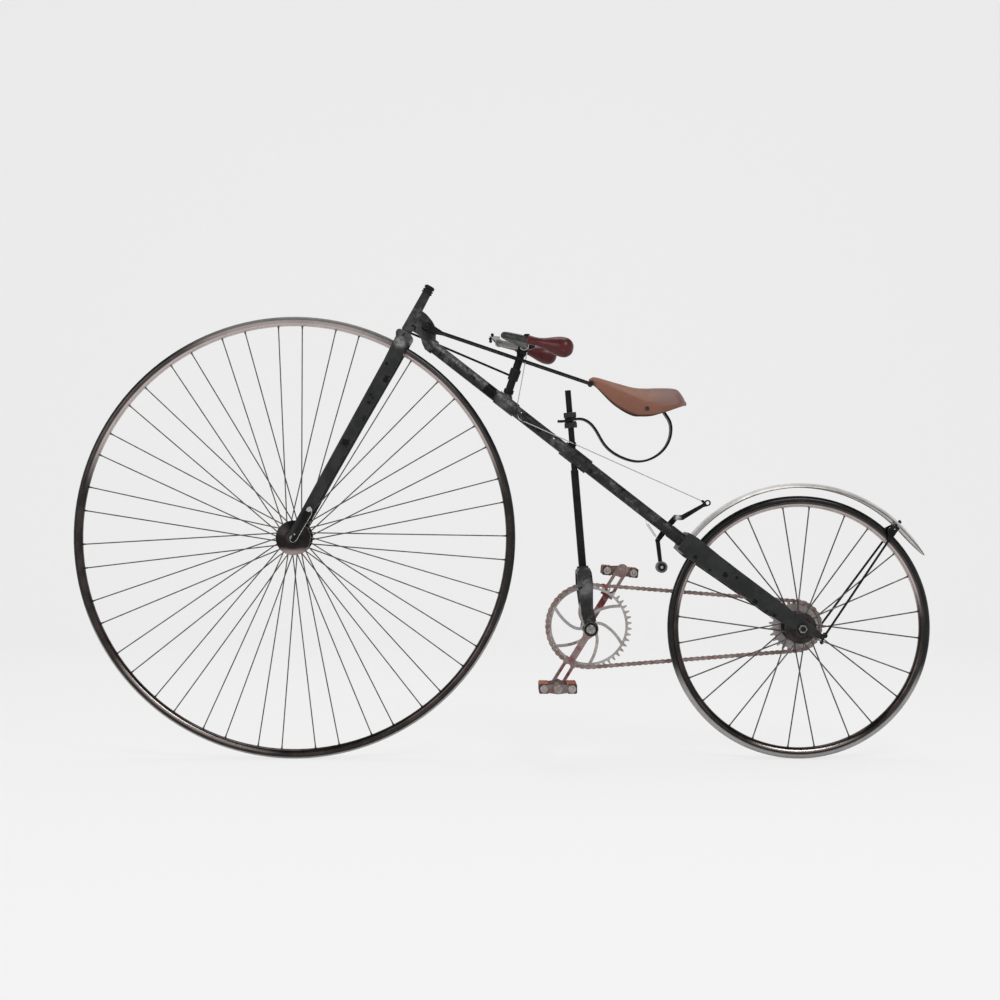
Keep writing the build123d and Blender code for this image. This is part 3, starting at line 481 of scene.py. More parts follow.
def hide(name, warm, cool):
    """Smooth saddle leather: brown, warm in the skirts and greyer on the seat, where it is worn to a shine.
    """
    s = Surface(name, IOR=1.45, Specular_IOR_Level=0.35, Coat_Weight=0.06, Coat_Roughness=0.4)
    pores = s.cells(1500)
    cloud = s.noise(14, 5, 0.6)
    stain = s.noise(55, 5, 0.6)
    seat = s.times(s.fit(s.axis("X"), -0.035, 0.020), s.fit(s.axis("Z"), -0.050, -0.030))
    seat = s.times(s.most(seat, s.fit(cloud, 0.45, 0.7, 0, 0.5)), 0.92)
    colour = s.mix(seat, warm, cool)
    colour = s.mix(s.fit(stain, 0.58, 0.75, 0, 0.6), colour, tuple(0.7 * value for value in cool))
    return s.finish(colour, cloud, 0.42, 0.55, (pores, 0.00012), (stain, 0.0003))


def twist(name):
    """Grey twisted cord."""
    s = Surface(name)
    strand = s.noise(900, 3, 0.6)
    colour = s.mix(s.fit(strand, 0.35, 0.65), (0.22, 0.215, 0.21), (0.52, 0.51, 0.50))
    return s.finish(colour, strand, 0.7, 0.9, (strand, 0.0002))


BLACK, GREY = (0.016, 0.0165, 0.017), (0.026, 0.0265, 0.027)
IRON, WORN_IRON = (0.004, 0.004, 0.0042), (0.010, 0.010, 0.0102)
WEAR_AND_HIGHLIGHTS = (  # where hands, bolts and straps have worn the enamel, and painted highlights where light catches the tubes, lugs and the brake lever's elbow: x, y, z, radius, strength
    (-584.7, -31, 104.2, 19, 1.0), (-575, -31, 128, 22, 0.25), (-556, -20, 130, 40, 0.22),
    (-345, -14, -30, 30, 0.32), (-165, -56, -455, 30, 0.5), (53.5, 8, -297.5, 10, 1.0),
    (-503, -14, 98, 10, 0.55), (-213, -14, -137, 20, 0.22),
)
PAINTED_HIGHLIGHT_LINES = (  # painted highlight along the upper side of the backbone
    (mm(-508, -12, 105), mm(-390, -12, 11)), (mm(-372, -12, -4), mm(-330, -12, -38)),
)
CHIPS = (  # bare black spots on the blades of both forks: x, y, z, radius
    (-614, -34, 18, 9.1), (-615, -33, 55, 3.4), (-651, -36, -17, 3),
    (-655, -36, -34, 3.6), (-646, -36, -24, 3), (-663, -37, -72, 6.8),
    (-708, -40, -125, 9.1), (155, -54, -426, 5.9), (181, -54, -433, 3.6),
    (222, -54, -488, 5.9), (248, -54, -508, 3.2), (266, -54, -518, 4.1),
    (87, -54, -386, 4.5), (119, -54, -415, 3), (165, -54, -401, 3),
)
DARK_BAND = mm(-380.6, 0, -8.9)  # a dark ring round the backbone, ahead of the handlebar's lug
PAINT_LEFT = (  # of red paint on the cranks: x, y, z, radius, strength
    (-122, 60, -496, 22, 0.95), (-108, 60, -478, 16, 0.9), (-194, -60, -618, 14, 0.6),
    (-178, -60, -592, 8, 0.5), (-200, -60, -640, 12, 0.55), (-222, -60, -652, 14, 0.5),
)
DARK_IRON = enamel("dark_iron", IRON, WORN_IRON, 0.1, (0.12, 0.12, 0.118))
PITTED = enamel("pitted_enamel", BLACK, GREY, placed=True, pitted=0.3)
WORN_STEEL = steel("worn_steel", (0.26, 0.26, 0.255), (0.48, 0.475, 0.465), rust=(0.16, 0.10, 0.08))
COPPER = steel("copper_ferrule", (0.14, 0.055, 0.034), (0.24, 0.105, 0.06), rough=(0.35, 0.5))
DARK_NICKEL = nickel("dark_nickel", (0.20, 0.18, 0.17), (0.12, 0.105, 0.10))
# dark edge colour, also the painted shade on the saddle's underside
BURNISHED_AND_SHADE = hide("burnished_edge_and_shade", (0.030, 0.015, 0.013), (0.045, 0.021, 0.017))
PEDAL_PLATE = rusted(
    "pedal_plate", (0.20, 0.155, 0.145), (0.10, 0.058, 0.050), (0.15, 0.035, 0.026), 0.05, 80
)
DISC_STEEL = steel(
    "disc_steel", (0.24, 0.22, 0.21), (0.40, 0.375, 0.36), rust=(0.15, 0.08, 0.06), rust_amount=-0.01
)
FRONT_HUB_PLATE = hub_plate("front_hub_plate", FRONT_AXLE)
SLOTS = {  # the material of each slot of the record
    "worn_black_enamel": enamel("worn_black_enamel", BLACK, GREY, placed=True),
    "dull_steel": steel(
        "dull_steel", (0.13, 0.125, 0.12), (0.34, 0.33, 0.315), rust=(0.15, 0.07, 0.045), rust_amount=0.02
    ),
    "dark_spoke_steel": steel("dark_spoke_steel", (0.05, 0.046, 0.045), (0.14, 0.13, 0.125), metallic=0.8),
    "nickel_plate": nickel("nickel_plate", (0.62, 0.605, 0.59), (0.50, 0.48, 0.465), 0.55),
    "hub_steel": steel("hub_steel", (0.016, 0.013, 0.013), (0.045, 0.036, 0.035), (0.2, 0.32), 0.8),
    "bar_steel": bar_metal("bar_steel"),
    "rusty_chain": rusted(
        "rusty_chain", (0.30, 0.255, 0.24), (0.17, 0.10, 0.085), (0.24, 0.045, 0.03), 0.02, 70
    ),
    "rusty_gear": rusted(
        "rusty_gear", (0.42, 0.41, 0.40), (0.27, 0.235, 0.22), (0.17, 0.06, 0.05), -0.04, 40
    ),
    "rusty_crank": rusted(
        "rusty_crank", (0.27, 0.215, 0.21), (0.185, 0.115, 0.105), (0.15, 0.026, 0.026), 0.03, 45, PAINT_LEFT
    ),
    "pedal_rubber": pedal_rubber("pedal_rubber"),
    "varnished_wood": wood("varnished_wood"),
    "saddle_hide": hide("saddle_hide", (0.188, 0.077, 0.046), (0.145, 0.077, 0.065)),
    "brake_cord": twist("brake_cord"),
}
FINISHES = {  # nodes that differ from the rest of their slot, or have the slot to themselves
    "front_tyre": tyre_rubber("front_tyre_rubber", FRONT_AXLE, mm(502.5), mm(508), 0.42),
    "rear_tyre": tyre_rubber("rear_tyre_rubber", REAR_AXLE, mm(289), mm(302)),
    "front_rim": plated_rim(
        "front_rim_plate", FRONT_AXLE, mm(486), mm(499), mm(100), mm(250), Vector((-0.5, 0, -0.87)), 0.7
    ),
    "rear_rim": plated_rim(
        "rear_rim_plate", REAR_AXLE, mm(276), mm(289), mm(15), mm(110), Vector((0.05, 0, -1))
    ),
    "front_hub": FRONT_HUB_PLATE,
    # its pale bare colour also paints the highlight on the lever's elbow
    "brake_lever": enamel("lever_iron", IRON, WORN_IRON, 0.1, (0.5, 0.48, 0.46), placed=True),
    "brake_roller": steel("roller_steel", (0.055, 0.055, 0.056), (0.13, 0.13, 0.13), (0.35, 0.5), 0.5),
    "pedal_frame_left": PEDAL_PLATE,
    "pedal_frame_right": PEDAL_PLATE,
}
PITTED_NODES = "backbone head_and_neck handlebar_lug seat_lug crank_bracket front_fork_crown"
DARK_IRON_NODES = (
    "fork_end_straps steering_rod neck_bolt nose_bolt saddle_bars saddle_spring handlebar_post head_nuts"
    " seat_post steering_arm mudguard_stays"
)
for names, material in ((PITTED_NODES, PITTED), (DARK_IRON_NODES, DARK_IRON)):
    FINISHES.update(dict.fromkeys(names.split(), material))
for row in frame["record"]["subparts"]:
    mesh = NODES[row["node"]].data
    mesh.materials.clear()
    mesh.materials.append(FINISHES.get(row["node"]) or SLOTS[row["material_slot"]])

# ---------------- a small kit for meshes


def aimed(origin, axis, side=None):
    """A place whose Z runs along an axis, with its X towards side."""
    z = Vector(axis).normalized()
    x = Vector(side) if side is not None else z.orthogonal()
    y = z.cross(x).normalized()
    turn = Matrix((y.cross(z), y, z)).transposed().to_4x4()
    return Matrix.Translation(origin) @ turn


def beside(spot, y):
    """A place at y millimetres from a point of the middle plane, whose Z points away from that plane."""
    return aimed(spot + mm(0, y, 0), (0, math.copysign(1, y), 0), (1, 0, 0))


def both(spot, y):
    """The two places beside a point of the middle plane, left and right."""
    return [beside(spot, side * y) for side in SIDES]


def polar(radius, angle, y=0.0, offset=0.0):
    """A step from an axle: along a radius at an angle in degrees, and set off square to it."""
    angle = math.radians(angle)
    x = radius * math.cos(angle) - offset * math.sin(angle)
    z = radius * math.sin(angle) + offset * math.cos(angle)
    return mm(x, y, z)


def round_ring(radius, height, count):
    turn = math.tau / count
    return [mm(radius * math.cos(turn * i), radius * math.sin(turn * i), height) for i in range(count)]


def hexagon_ring(across, height, shrink=1.0):
    """Twelve points of a hexagon, at its corners and the middles of its sides."""
    ring = []
    for i in range(12):
        radius = shrink * across / 2 * (1 if i % 2 else 1 / math.cos(math.pi / 6))
        angle = math.tau * i / 12
        ring.append(mm(radius * math.cos(angle), radius * math.sin(angle), height))
    return ring


def linked(name, mesh, body):
    """A mesh as a piece of the scene that rides on a body, with smooth faces."""
    data = bpy.data.meshes.new(name)
    mesh.to_mesh(data)
    mesh.free()
    data.shade_smooth()
    piece = shown(name, data)
    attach(piece, body)
    return piece


class Piece:
    """A mesh gathered from closed shapes, each made of rings of points."""

    def __init__(self):
        self.mesh = bmesh.new()

    def rings(self, rings, closed=False):
        """A skin over rings of points: a loop through all of them, or capped at both ends."""
        rows = [[self.mesh.verts.new(point) for point in ring] for ring in rings]
        pairs = list(zip(rows, rows[1:]))
        if closed:
            pairs.append((rows[-1], rows[0]))
        count = len(rows[0])
        for low, high in pairs:
            for i in range(count):
                j = (i + 1) % count
                self.mesh.faces.new((low[i], low[j], high[j], high[i]))
        if not closed:
            self.mesh.faces.new(rows[0][::-1])
            self.mesh.faces.new(rows[-1])

    def turned(self, places, rows, count, closed=False):
        """A shape turned from (radius, height) rows round the Z of one place, or of each in a list."""
        for place in places if isinstance(places, list) else [places]:
            rings = [round_ring(radius, height, count) for radius, height in rows]
            self.rings([[place @ point for point in ring] for ring in rings], closed)

    def nut(self, place, across, height, hole):
        """A hexagon nut with chamfered corners and a countersunk hole."""
        rings = [
            round_ring(hole, 0, 12), hexagon_ring(across, 0, 0.95), hexagon_ring(across, 0.12 * height),
            hexagon_ring(across, 0.86 * height), hexagon_ring(across, height, 0.92),
            round_ring(hole + 0.5, height, 12), round_ring(hole, height - 0.5, 12),
        ]
        self.rings([[place @ p for p in ring] for ring in rings], closed=True)

    def tube(self, points, radius, count=8, ends=1.0):
        """A round wire along points, drawn in at its two ends; its radius is in millimetres."""
        points = [Vector(point) for point in points]
        last = len(points) - 1
        rings = []
        side = None
        for i, point in enumerate(points):
            heading = (points[min(i + 1, last)] - points[max(i - 1, 0)]).normalized()
            side = heading.orthogonal() if side is None else side - heading * side.dot(heading)
            side.normalize()
            other = heading.cross(side)
            width = radius / 1000 * (ends if i in (0, last) else 1)
            turns = [math.tau * k / count for k in range(count)]
            rings.append([point + width * (math.cos(turn) * side + math.sin(turn) * other) for turn in turns])
        self.rings(rings)

    def slab(self, place, outline, thickness, chamfer):
        """A flat plate with chamfered edges from an outline in millimetres."""
        middle = Vector((sum(p[0] for p in outline), sum(p[1] for p in outline))) / len(outline)
        rings = []
        for height, inset in ((0, chamfer), (chamfer, 0), (thickness - chamfer, 0), (thickness, chamfer)):
            ring = []
            for point in outline:
                away = Vector(point) - middle
                spot = Vector(point) - away.normalized() * inset
                ring.append(place @ mm(spot.x, spot.y, height))
            rings.append(ring)
        self.rings(rings)

    def made(self, name, body, slot, material=None):
        """The finished piece, in its slot's material or in another."""
        bmesh.ops.recalc_face_normals(self.mesh, faces=self.mesh.faces)
        piece = linked(name, self.mesh, body)
        piece.data.set_sharp_from_angle(angle=math.radians(32))
        piece.data.materials.append(material or SLOTS[slot])

    def made_iron(self, name, body):
        """The finished piece, as dark iron."""
        self.made(name, body, "worn_black_enamel", DARK_IRON)


def smooth_rows(rows, steps):
    """Rows of a table with more rows between them, on a Catmull-Rom curve."""
    made = []
    rows = [Vector(row) for row in rows]
    for i in range(len(rows) - 1):
        before = rows[max(i - 1, 0)]
        start, end = rows[i], rows[i + 1]
        after = rows[min(i + 2, len(rows) - 1)]
        for step in range(steps):
            t = step / steps
            square = (2 * before - 5 * start + 4 * end - after) * t * t
            cube = (3 * start - before - 3 * end + after) * t**3
            made.append(0.5 * (2 * start + (end - before) * t + square + cube))
    return made + [rows[-1]]


def sheet_piece(name, rows, thickness, outside, node, lining=None):
    """A curved sheet through rows of places, thickened on its inner side, in place of a node of the frame."""
    shell = bmesh.new()
    grid = [[shell.verts.new(point) for point in row] for row in rows]
    for low, high in zip(grid, grid[1:]):
        for i in range(len(low) - 1):
            shell.faces.new((low[i], low[i + 1], high[i + 1], high[i]))
    bmesh.ops.recalc_face_normals(shell, faces=shell.faces)
    top = max(shell.faces, key=lambda face: face.calc_center_median().z)
    if top.normal.z < 0:
        bmesh.ops.reverse_faces(shell, faces=shell.faces)
    piece = linked(name, shell, "frame")
    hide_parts(node)
    piece.data.materials.append(outside)
    if lining:
        piece.data.materials.append(lining)
    solid = piece.modifiers.new("thickness", "SOLIDIFY")
    solid.thickness = mm(thickness)
    solid.offset = -1
    solid.use_even_offset = True
    solid.material_offset = 1 if lining else 0


# ---------------- saddle

SADDLE_ROWS = (  # x, crest z, shoulder half width and z, skirt half width and z
    (-152, 21.0, 9, 17.5, 9, 10.5),
    (-148, 23.6, 12.5, 17.8, 12.5, 8.0),
    (-136, 25.5, 17, 15.0, 16.5, 2.0),
    (-93, 13.0, 36, -6.7, 34, -38.6),
    (-52, 1.8, 62, -25.4, 56, -61.5),
    (-24, -0.6, 78, -39.0, 70, -64.0),
    (4, 0.0, 86, -43.6, 78, -61.2),
    (44, -2.0, 86, -41.0, 80, -48.0),
    (59, -16.0, 72, -37.0, 66, -43.0),
    (66, -31.0, 50, -38.0, 47, -41.5),
)
TOP_STEPS, SKIRT_STEPS = 12, 8
CREASE, BULGE = 2.7, 0.035  # how late the top turns down, and how far the skirts swell
FAR_SKIRT_RISE = 3.5  # the right skirt has curled up a little
LEATHER = 4.2  # thickness
CANTLE_STRAPS = (30, 46)  # x of the two steel straps below the seat
STRAP_STEPS = 14


def saddle_half(row):
    """One side of the saddle's section, from its crest over the soft crease and down the skirt."""
    x, crest, shoulder_width, shoulder, skirt_width, skirt = row
    half = []
    for step in range(TOP_STEPS + 1):
        across = step / TOP_STEPS
        half.append((x, across * shoulder_width, crest - (crest - shoulder) * across**CREASE))
    for step in range(1, SKIRT_STEPS + 1):
        down = step / SKIRT_STEPS
        bulge = BULGE * (shoulder - skirt) * math.sin(math.pi * down)
        y = shoulder_width + (skirt_width - shoulder_width) * down + bulge
        half.append((x, y, shoulder + (skirt - shoulder) * down))
    return half


def saddle():
    """The leather as a hollow curved shell, with a burnished edge, side eyelets and steel straps; its
    underside takes the dark edge colour as painted shade.
    """
    rows = []
    for row in smooth_rows(SADDLE_ROWS, 8):
        half = saddle_half(row)
        shoulder, skirt = row[3], row[5]
        section = [mm(x, -y, z) for x, y, z in reversed(half[1:])]
        for x, y, z in half:
            down = max(0, min(1, (shoulder - z) / (shoulder - skirt)))
            section.append(mm(x, y, z + FAR_SKIRT_RISE * down))
        rows.append(section)
    leather = SLOTS["saddle_hide"]
    # the leather's underside is dark: painted shade under the skirts
    sheet_piece("saddle_cover", rows, LEATHER, leather, "saddle_leather", BURNISHED_AND_SHADE)
    edge = [row[0] for row in rows] + rows[-1][1:-1] + [row[-1] for row in reversed(rows)]
    rim = Piece()
    inward = [point + mm(0, -1.8 if point.y > 0 else 1.8, 0.3) for point in edge]
    rim.tube(inward, 1.2, ends=0.3)
    rim.made("saddle_edge", "frame", "saddle_hide", BURNISHED_AND_SHADE)
    eyelets = Piece()
    ring = [(5.0, -5.0), (5.0, 0.2), (4.6, 0.7), (4.0, 0.6), (3.0, 0.1), (1.6, -0.1), (0.4, -0.1)]
    for side in SIDES:
        eyelets.turned(aimed(mm(-24, side * 76.6, -50.3), (0, side, -0.28), (1, 0, 0)), ring, 24)
    eyelets.made("saddle_eyelets", "frame", "dull_steel", BURNISHED_AND_SHADE)
    cantle = Piece()
    for x in CANTLE_STRAPS:
        strap = []
        for step in range(-STRAP_STEPS, STRAP_STEPS + 1):
            across = 0.93 * step / STRAP_STEPS
            strap.append(mm(x - 8 * abs(across), 86 * across, -6.5 - 39.5 * abs(across) ** CREASE))
        cantle.tube(strap, 2.2)
    cantle.made("saddle_cantle", "frame", "dull_steel", DARK_IRON)


# ---------------- wheels

SPOKE_ROWS = {  # axle, spokes on a flange, wire radius, inner and outer end; side, first angle, offset
    "front_wheel": (FRONT_AXLE, 23, 1.4, 40.1, 485.7, ((-1, -1.0, 12.4), (1, 11.1, -12.4))),
    "rear_wheel": (REAR_AXLE, 12, 1.6, 36.8, 275.7, ((-1, -7.6, 12.0), (1, 10.0, -12.0))),
}
FLANGE_Y = 28.5
HUB_DISHES = (  # wheel, material, axle, sides that have one, radius and height rows
    ("front_wheel", FRONT_HUB_PLATE, FRONT_AXLE, SIDES, [
        (38.9, 30.6), (39.3, 31.4), (38.2, 32.0), (24.5, 34.2), (23.4, 33.6), (21.5, 34.0), (15.5, 37.9),
        (14.4, 37.9), (14.4, 31.0),
    ]),
    ("rear_wheel", SLOTS["hub_steel"], REAR_AXLE, SIDES[:1], [
        (35.5, 30.6), (36.0, 31.4), (34.8, 32.0), (24.5, 33.2), (23.6, 32.7), (15.2, 33.9), (14.2, 33.9),
        (14.2, 31.0),
    ]),
)


def spoke_ends():
    """A nipple at the rim and a threaded boss at the flange for every spoke."""
    for body, (axle, count, wire, inner, outer, rows) in SPOKE_ROWS.items():
        boss = [(1.8, -1.2), (1.8, 0.0), (wire + 0.1, 0.8), (wire, 0.9)]
        nipple = [(2.6, -0.4), (2.6, 0.8), (1.8, 1.4), (1.8, 5.0), (wire + 0.1, 6.4), (wire, 6.5)]
        ends = Piece()
        for side, first, offset in rows:
            for number in range(count):
                angle = first + 360 * number / count
                foot, tip = (
                    axle + polar(math.sqrt(radius**2 - offset**2), angle, y, offset)
                    for radius, y in ((inner, side * FLANGE_Y), (outer, 0))
                )
                ends.turned(aimed(foot, tip - foot), boss, 8)
                ends.turned(aimed(tip, foot - tip), nipple, 8)
        ends.made(body + "_spoke_ends", body, "dark_spoke_steel")


def hub_dishes():
    """Shallow dished covers on the hubs, with a stepped rim."""
    for body, material, axle, sides, rows in HUB_DISHES:
        dishes = Piece()
        dishes.turned([aimed(axle, (0, side, 0), (1, 0, 0)) for side in sides], rows, 64, closed=True)
        dishes.made(body + "_hub_dishes", body, "hub_steel", material)


# ---------------- chain, cranks and pedals

CHAIN_PITCH, CHAIN_LINKS, CHAIN_Y, PIN_Y = 13.4, 108, 41.0, 5.4
CHAINWHEEL_TEETH, SPROCKET_TEETH = 45, 27
CHAINWHEEL_RADIUS = CHAIN_PITCH / (2 * math.sin(math.pi / CHAINWHEEL_TEETH))
SPROCKET_RADIUS = CHAIN_PITCH / (2 * math.sin(math.pi / SPROCKET_TEETH))
CRANK_ANGLE = 58  # of the right crank, in degrees
PEDALS = (  # name, side, angle of the crank, lean of the pedal
    ("left", -1, CRANK_ANGLE + 180, 0.0),
    ("right", 1, CRANK_ANGLE, -5.5),
)
CRANK_LENGTH, PEDAL_INNER, PEDAL_OUTER, BLOCK_REACH = 146, 80, 172, 31
RIB_SPREAD, RIB_HEIGHT, RIB_INSET, RIB_STEPS = 6.6, 10.5, 5, 6


def chain_pins():
    """Pin heads on both sides of every link of the chain, along its two runs and round both wheels."""
    span = (REAR_AXLE - CRANK_AXLE).x * 1000
    lean = math.asin((CHAINWHEEL_RADIUS - SPROCKET_RADIUS) / span)
    straight = span * math.cos(lean)
    tilt = math.degrees(lean)
    rear_arc = SPROCKET_RADIUS * (math.pi - 2 * lean)
    front_arc = CHAINWHEEL_RADIUS * (math.pi + 2 * lean)
    pitch = (2 * straight + rear_arc + front_arc) / CHAIN_LINKS
    pins = Piece()
    for link in range(CHAIN_LINKS):
        gone = pitch * link
        if gone <= straight:
            spot = CRANK_AXLE + polar(CHAINWHEEL_RADIUS, 90 - tilt) + polar(gone, -tilt)
        elif gone <= straight + rear_arc:
            turn = math.degrees((gone - straight) / SPROCKET_RADIUS)
            spot = REAR_AXLE + polar(SPROCKET_RADIUS, 90 - tilt - turn)
        elif gone <= 2 * straight + rear_arc:
            spot = REAR_AXLE + polar(SPROCKET_RADIUS, tilt - 90)
            spot += polar(gone - straight - rear_arc, tilt - 180)
        else:
            turn = math.degrees((gone - 2 * straight - rear_arc) / CHAINWHEEL_RADIUS)
            spot = CRANK_AXLE + polar(CHAINWHEEL_RADIUS, tilt - 90 - turn)
        heads = [aimed(spot + mm(0, CHAIN_Y + side * PIN_Y, 0), (0, side, 0)) for side in SIDES]
        pins.turned(heads, [(2.3, -1.6), (2.3, 0.3), (1.7, 0.8), (0.6, 1.0)], 8)
    pins.made("chain_pins", "frame", "rusty_chain")


def crank_trim():
    """Axle bolts with their washers, the cotters through the crank bosses, and caps on the pedal pins."""
    ends = both(CRANK_AXLE, 70.3)
    bolts = Piece()
    bolt = [
        (10.6, 1.0), (10.8, 3.2), (9.6, 4.6), (7.6, 5.2), (6.6, 4.7), (5.4, 5.0), (2.2, 5.2), (1.6, 4.2),
        (0.5, 4.2),
    ]
    bolts.turned(ends, bolt, 32)
    across = polar(1000, CRANK_ANGLE + 90)
    for side in SIDES:
        boss = CRANK_AXLE + mm(0, side * 66, 0)
        cotter = [aimed(boss + across * end * mm(13.2), across * end) for end in (-1, 1)]
        bolts.turned(cotter, [(3.2, 0), (3.2, 4.2), (2.6, 4.8), (0.6, 5.0)], 12)
    bolts.made("crank_bolts", "crank_set", "dull_steel")
    washers = Piece()
    washer = [(7.2, 0), (15.2, 0), (15.6, 0.8), (14.6, 1.6), (12.8, 1.7), (12.4, 1.2), (7.2, 1.2)]
    washers.turned(ends, washer, 40, True)
    washers.made_iron("crank_washers", "crank_set")
    caps = Piece()
    cap = [(11.8, -0.4), (12.2, 0.6), (11.2, 1.4), (7.2, 1.6), (6.4, 2.6), (3.0, 2.9), (0.6, 2.9)]
    for _, side, turn, _ in PEDALS:
        pin = CRANK_AXLE + polar(CRANK_LENGTH, turn, side * 61.6)
        caps.turned(aimed(pin, (0, -side, 0), (1, 0, 0)), cap, 36)
    caps.made("pedal_pin_caps", "crank_set", "rusty_crank")


def pedal_trim():
    """Ring nuts, end discs, and the ribs of the pedals' rubber blocks."""
    ring = [
        (5.1, -0.6), (9.8, -0.6), (10.0, 0.6), (9.2, 1.2), (8.4, 1.0), (8.0, 3.4), (7.2, 4.2), (5.1, 4.2),
    ]
    disc = [(8.6, -0.5), (8.8, 0.5), (8.2, 1.1), (4.0, 1.3), (3.4, 2.4), (2.2, 2.9), (0.6, 3.0)]
    length = PEDAL_OUTER - PEDAL_INNER - 2 * RIB_INSET
    for name, side, turn, lean in PEDALS:
        centre = CRANK_AXLE + polar(CRANK_LENGTH, turn)
        discs = Piece()
        ribs = Piece()
        for y, face in ((PEDAL_OUTER, side), (PEDAL_INNER, -side)):
            for reach, rows in ((0, ring), (-BLOCK_REACH, disc), (BLOCK_REACH, disc)):
                place = aimed(centre + polar(reach, lean, side * y), (0, face, 0), (1, 0, 0))
                discs.turned(place, rows, 32 if rows is ring else 24, rows is ring)
        for reach in (-BLOCK_REACH, BLOCK_REACH):
            for face in (-1, 1):
                for across in (-RIB_SPREAD, 0, RIB_SPREAD):
                    y = side * (PEDAL_INNER + RIB_INSET)
                    start = centre + polar(reach + across, lean, y, face * RIB_HEIGHT)
                    rib = [start + mm(0, side * length * i / RIB_STEPS, 0) for i in range(RIB_STEPS + 1)]
                    ribs.tube(rib, 1.5, 6, ends=0.7)
        discs.made("pedal_discs_" + name, "pedal_" + name, "dull_steel", DISC_STEEL)
        ribs.made("pedal_ribs_" + name, "pedal_" + name, "pedal_rubber")


# ---------------- fork, head and axles


def standing(side, y):
    """A place whose X is the bicycle's and whose Y is up, so that a slab there grows towards a side."""
    return Matrix(((1, 0, 0, 0), (0, 0, side, y / 1000), (0, 1, 0, 0), (0, 0, 0, 1)))


FORK_LINE = (  # x and z of the moulding from the strap's upper end to its hook below the axle
    (-786.5, -279.0), (-784.2, -286.0), (-786.4, -293.0), (-801.8, -318.4), (-815.8, -343.2),
    (-820.4, -349.6), (-826.2, -352.4), (-831.4, -350.8), (-834.0, -346.2),
)
FORK_CAP = (  # x and z of the small plate over the strap's upper end
    (-797.0, -280.2), (-795.0, -274.6), (-790.4, -271.4), (-785.8, -272.6), (-782.8, -277.0),
    (-783.4, -283.6), (-787.2, -282.6), (-791.6, -284.2),
)
HEAD_RINGS = ((638.0, 641.0, 12.2), (644.0, 647.1, 12.0), (649.5, 655.5, 11.6))  # low, high, radius
CLAMP_WASHERS = ((75.6, 79.0), (84.9, 88.4))  # up the seat post from the backbone
STAY_LOW, STAY_HIGH = (372.6, -578.0), (379.0, -562.0)  # x and z of the bracket's two nuts
STAY_BOLT, NECK_BOLT, FORK_SCREW = mm(380, 0, -564), mm(-525.1, 0, 140.8), mm(-823, 0, -334.6)


def fork_trim():
    """Strap mouldings and caps at the fork ends, and screw heads."""
    lines = Piece()
    caps = Piece()
    for side in SIDES:
        line = smooth_rows([(x, side * 52.7, z) for x, z in FORK_LINE], 4)
        lines.tube([mm(*row) for row in line], 0.7, ends=0.5)
        caps.slab(standing(side, side * 52.0), FORK_CAP, 1.9, 0.8)
    caps.turned(both(FORK_SCREW, 52.2), [(2.4, 0), (2.4, 0.7), (1.9, 1.4), (0.9, 1.8), (0.3, 1.9)], 20)
    lines.made("fork_end_mouldings", "fork", "dull_steel", WORN_STEEL)
    caps.made("fork_end_caps", "fork", "dull_steel", WORN_STEEL)


def axle_trim():
    """Ends, bolts, caps, rings and washers at the rear axle, mudguard, neck, head and saddle spring."""
    ends = Piece()
    tip = [(6.2, 0), (6.2, 4.2), (5.4, 4.8), (3.8, 4.9), (3.2, 4.2), (0.6, 4.1)]
    ends.turned(both(REAR_AXLE, 62.4), tip, 24)
    ends.turned(both(REAR_AXLE, 54.4), [(6.2, 0), (12.4, 0), (12.6, 0.7), (11.8, 1.2), (6.2, 1.3)], 32, True)
    ends.made_iron("rear_axle_ends", "frame")
    stays = Piece()
    for side in SIDES:
        low, high = (mm(x, side * 60.5, z) for x, z in (STAY_LOW, STAY_HIGH))
        for place in (aimed(low, low - high), aimed(high, high - low)):
            stays.nut(place, 8.0, 4.0, 1.6)
            stays.turned(place, [(2.3, -9), (2.3, 5.2), (1.7, 5.8), (0.5, 5.9)], 12)
    stays.turned(both(STAY_BOLT, 59.5), [(5.8, -6), (6.0, 0), (5.4, 1.3), (3.0, 2.0), (0.6, 2.2)], 24)
    stays.made_iron("stay_bolts", "frame")
    neck = Piece()
    places = both(NECK_BOLT, 21.5)
    neck.turned(places, [(4.1, -0.2), (8.4, -0.2), (8.6, 0.5), (7.9, 1.0), (4.1, 1.1)], 28, True)
    neck.turned(places, [(5.6, 4.8), (5.8, 5.4), (4.6, 6.3), (2.4, 6.8), (0.5, 6.9)], 20)
    neck.made_iron("neck_bolt_caps", "frame")
    rings = Piece()
    for low, high, radius in HEAD_RINGS:
        tall, wide = high - low, radius + 0.4
        ring = [(9.2, 0), (radius, 0), (wide, 0.6), (wide, tall - 0.6), (radius, tall), (9.2, tall)]
        rings.turned(aimed(FRONT_AXLE + FORK_AXIS * mm(low), FORK_AXIS), ring, 32, True)
    rings.made_iron("head_nut_rings", "fork")
    washers = Piece()
    square = [(-12.5, -12.5), (12.5, -12.5), (12.5, 12.5), (-12.5, 12.5)]
    for low, high in CLAMP_WASHERS:
        place = aimed(SEAT_CROSSING + SEAT_AXIS * mm(low), SEAT_AXIS, (1, 0, 0))
        washers.slab(place, square, high - low, 0.6)
    washers.made_iron("spring_clamp_washers", "frame")


# ---------------- handlebar

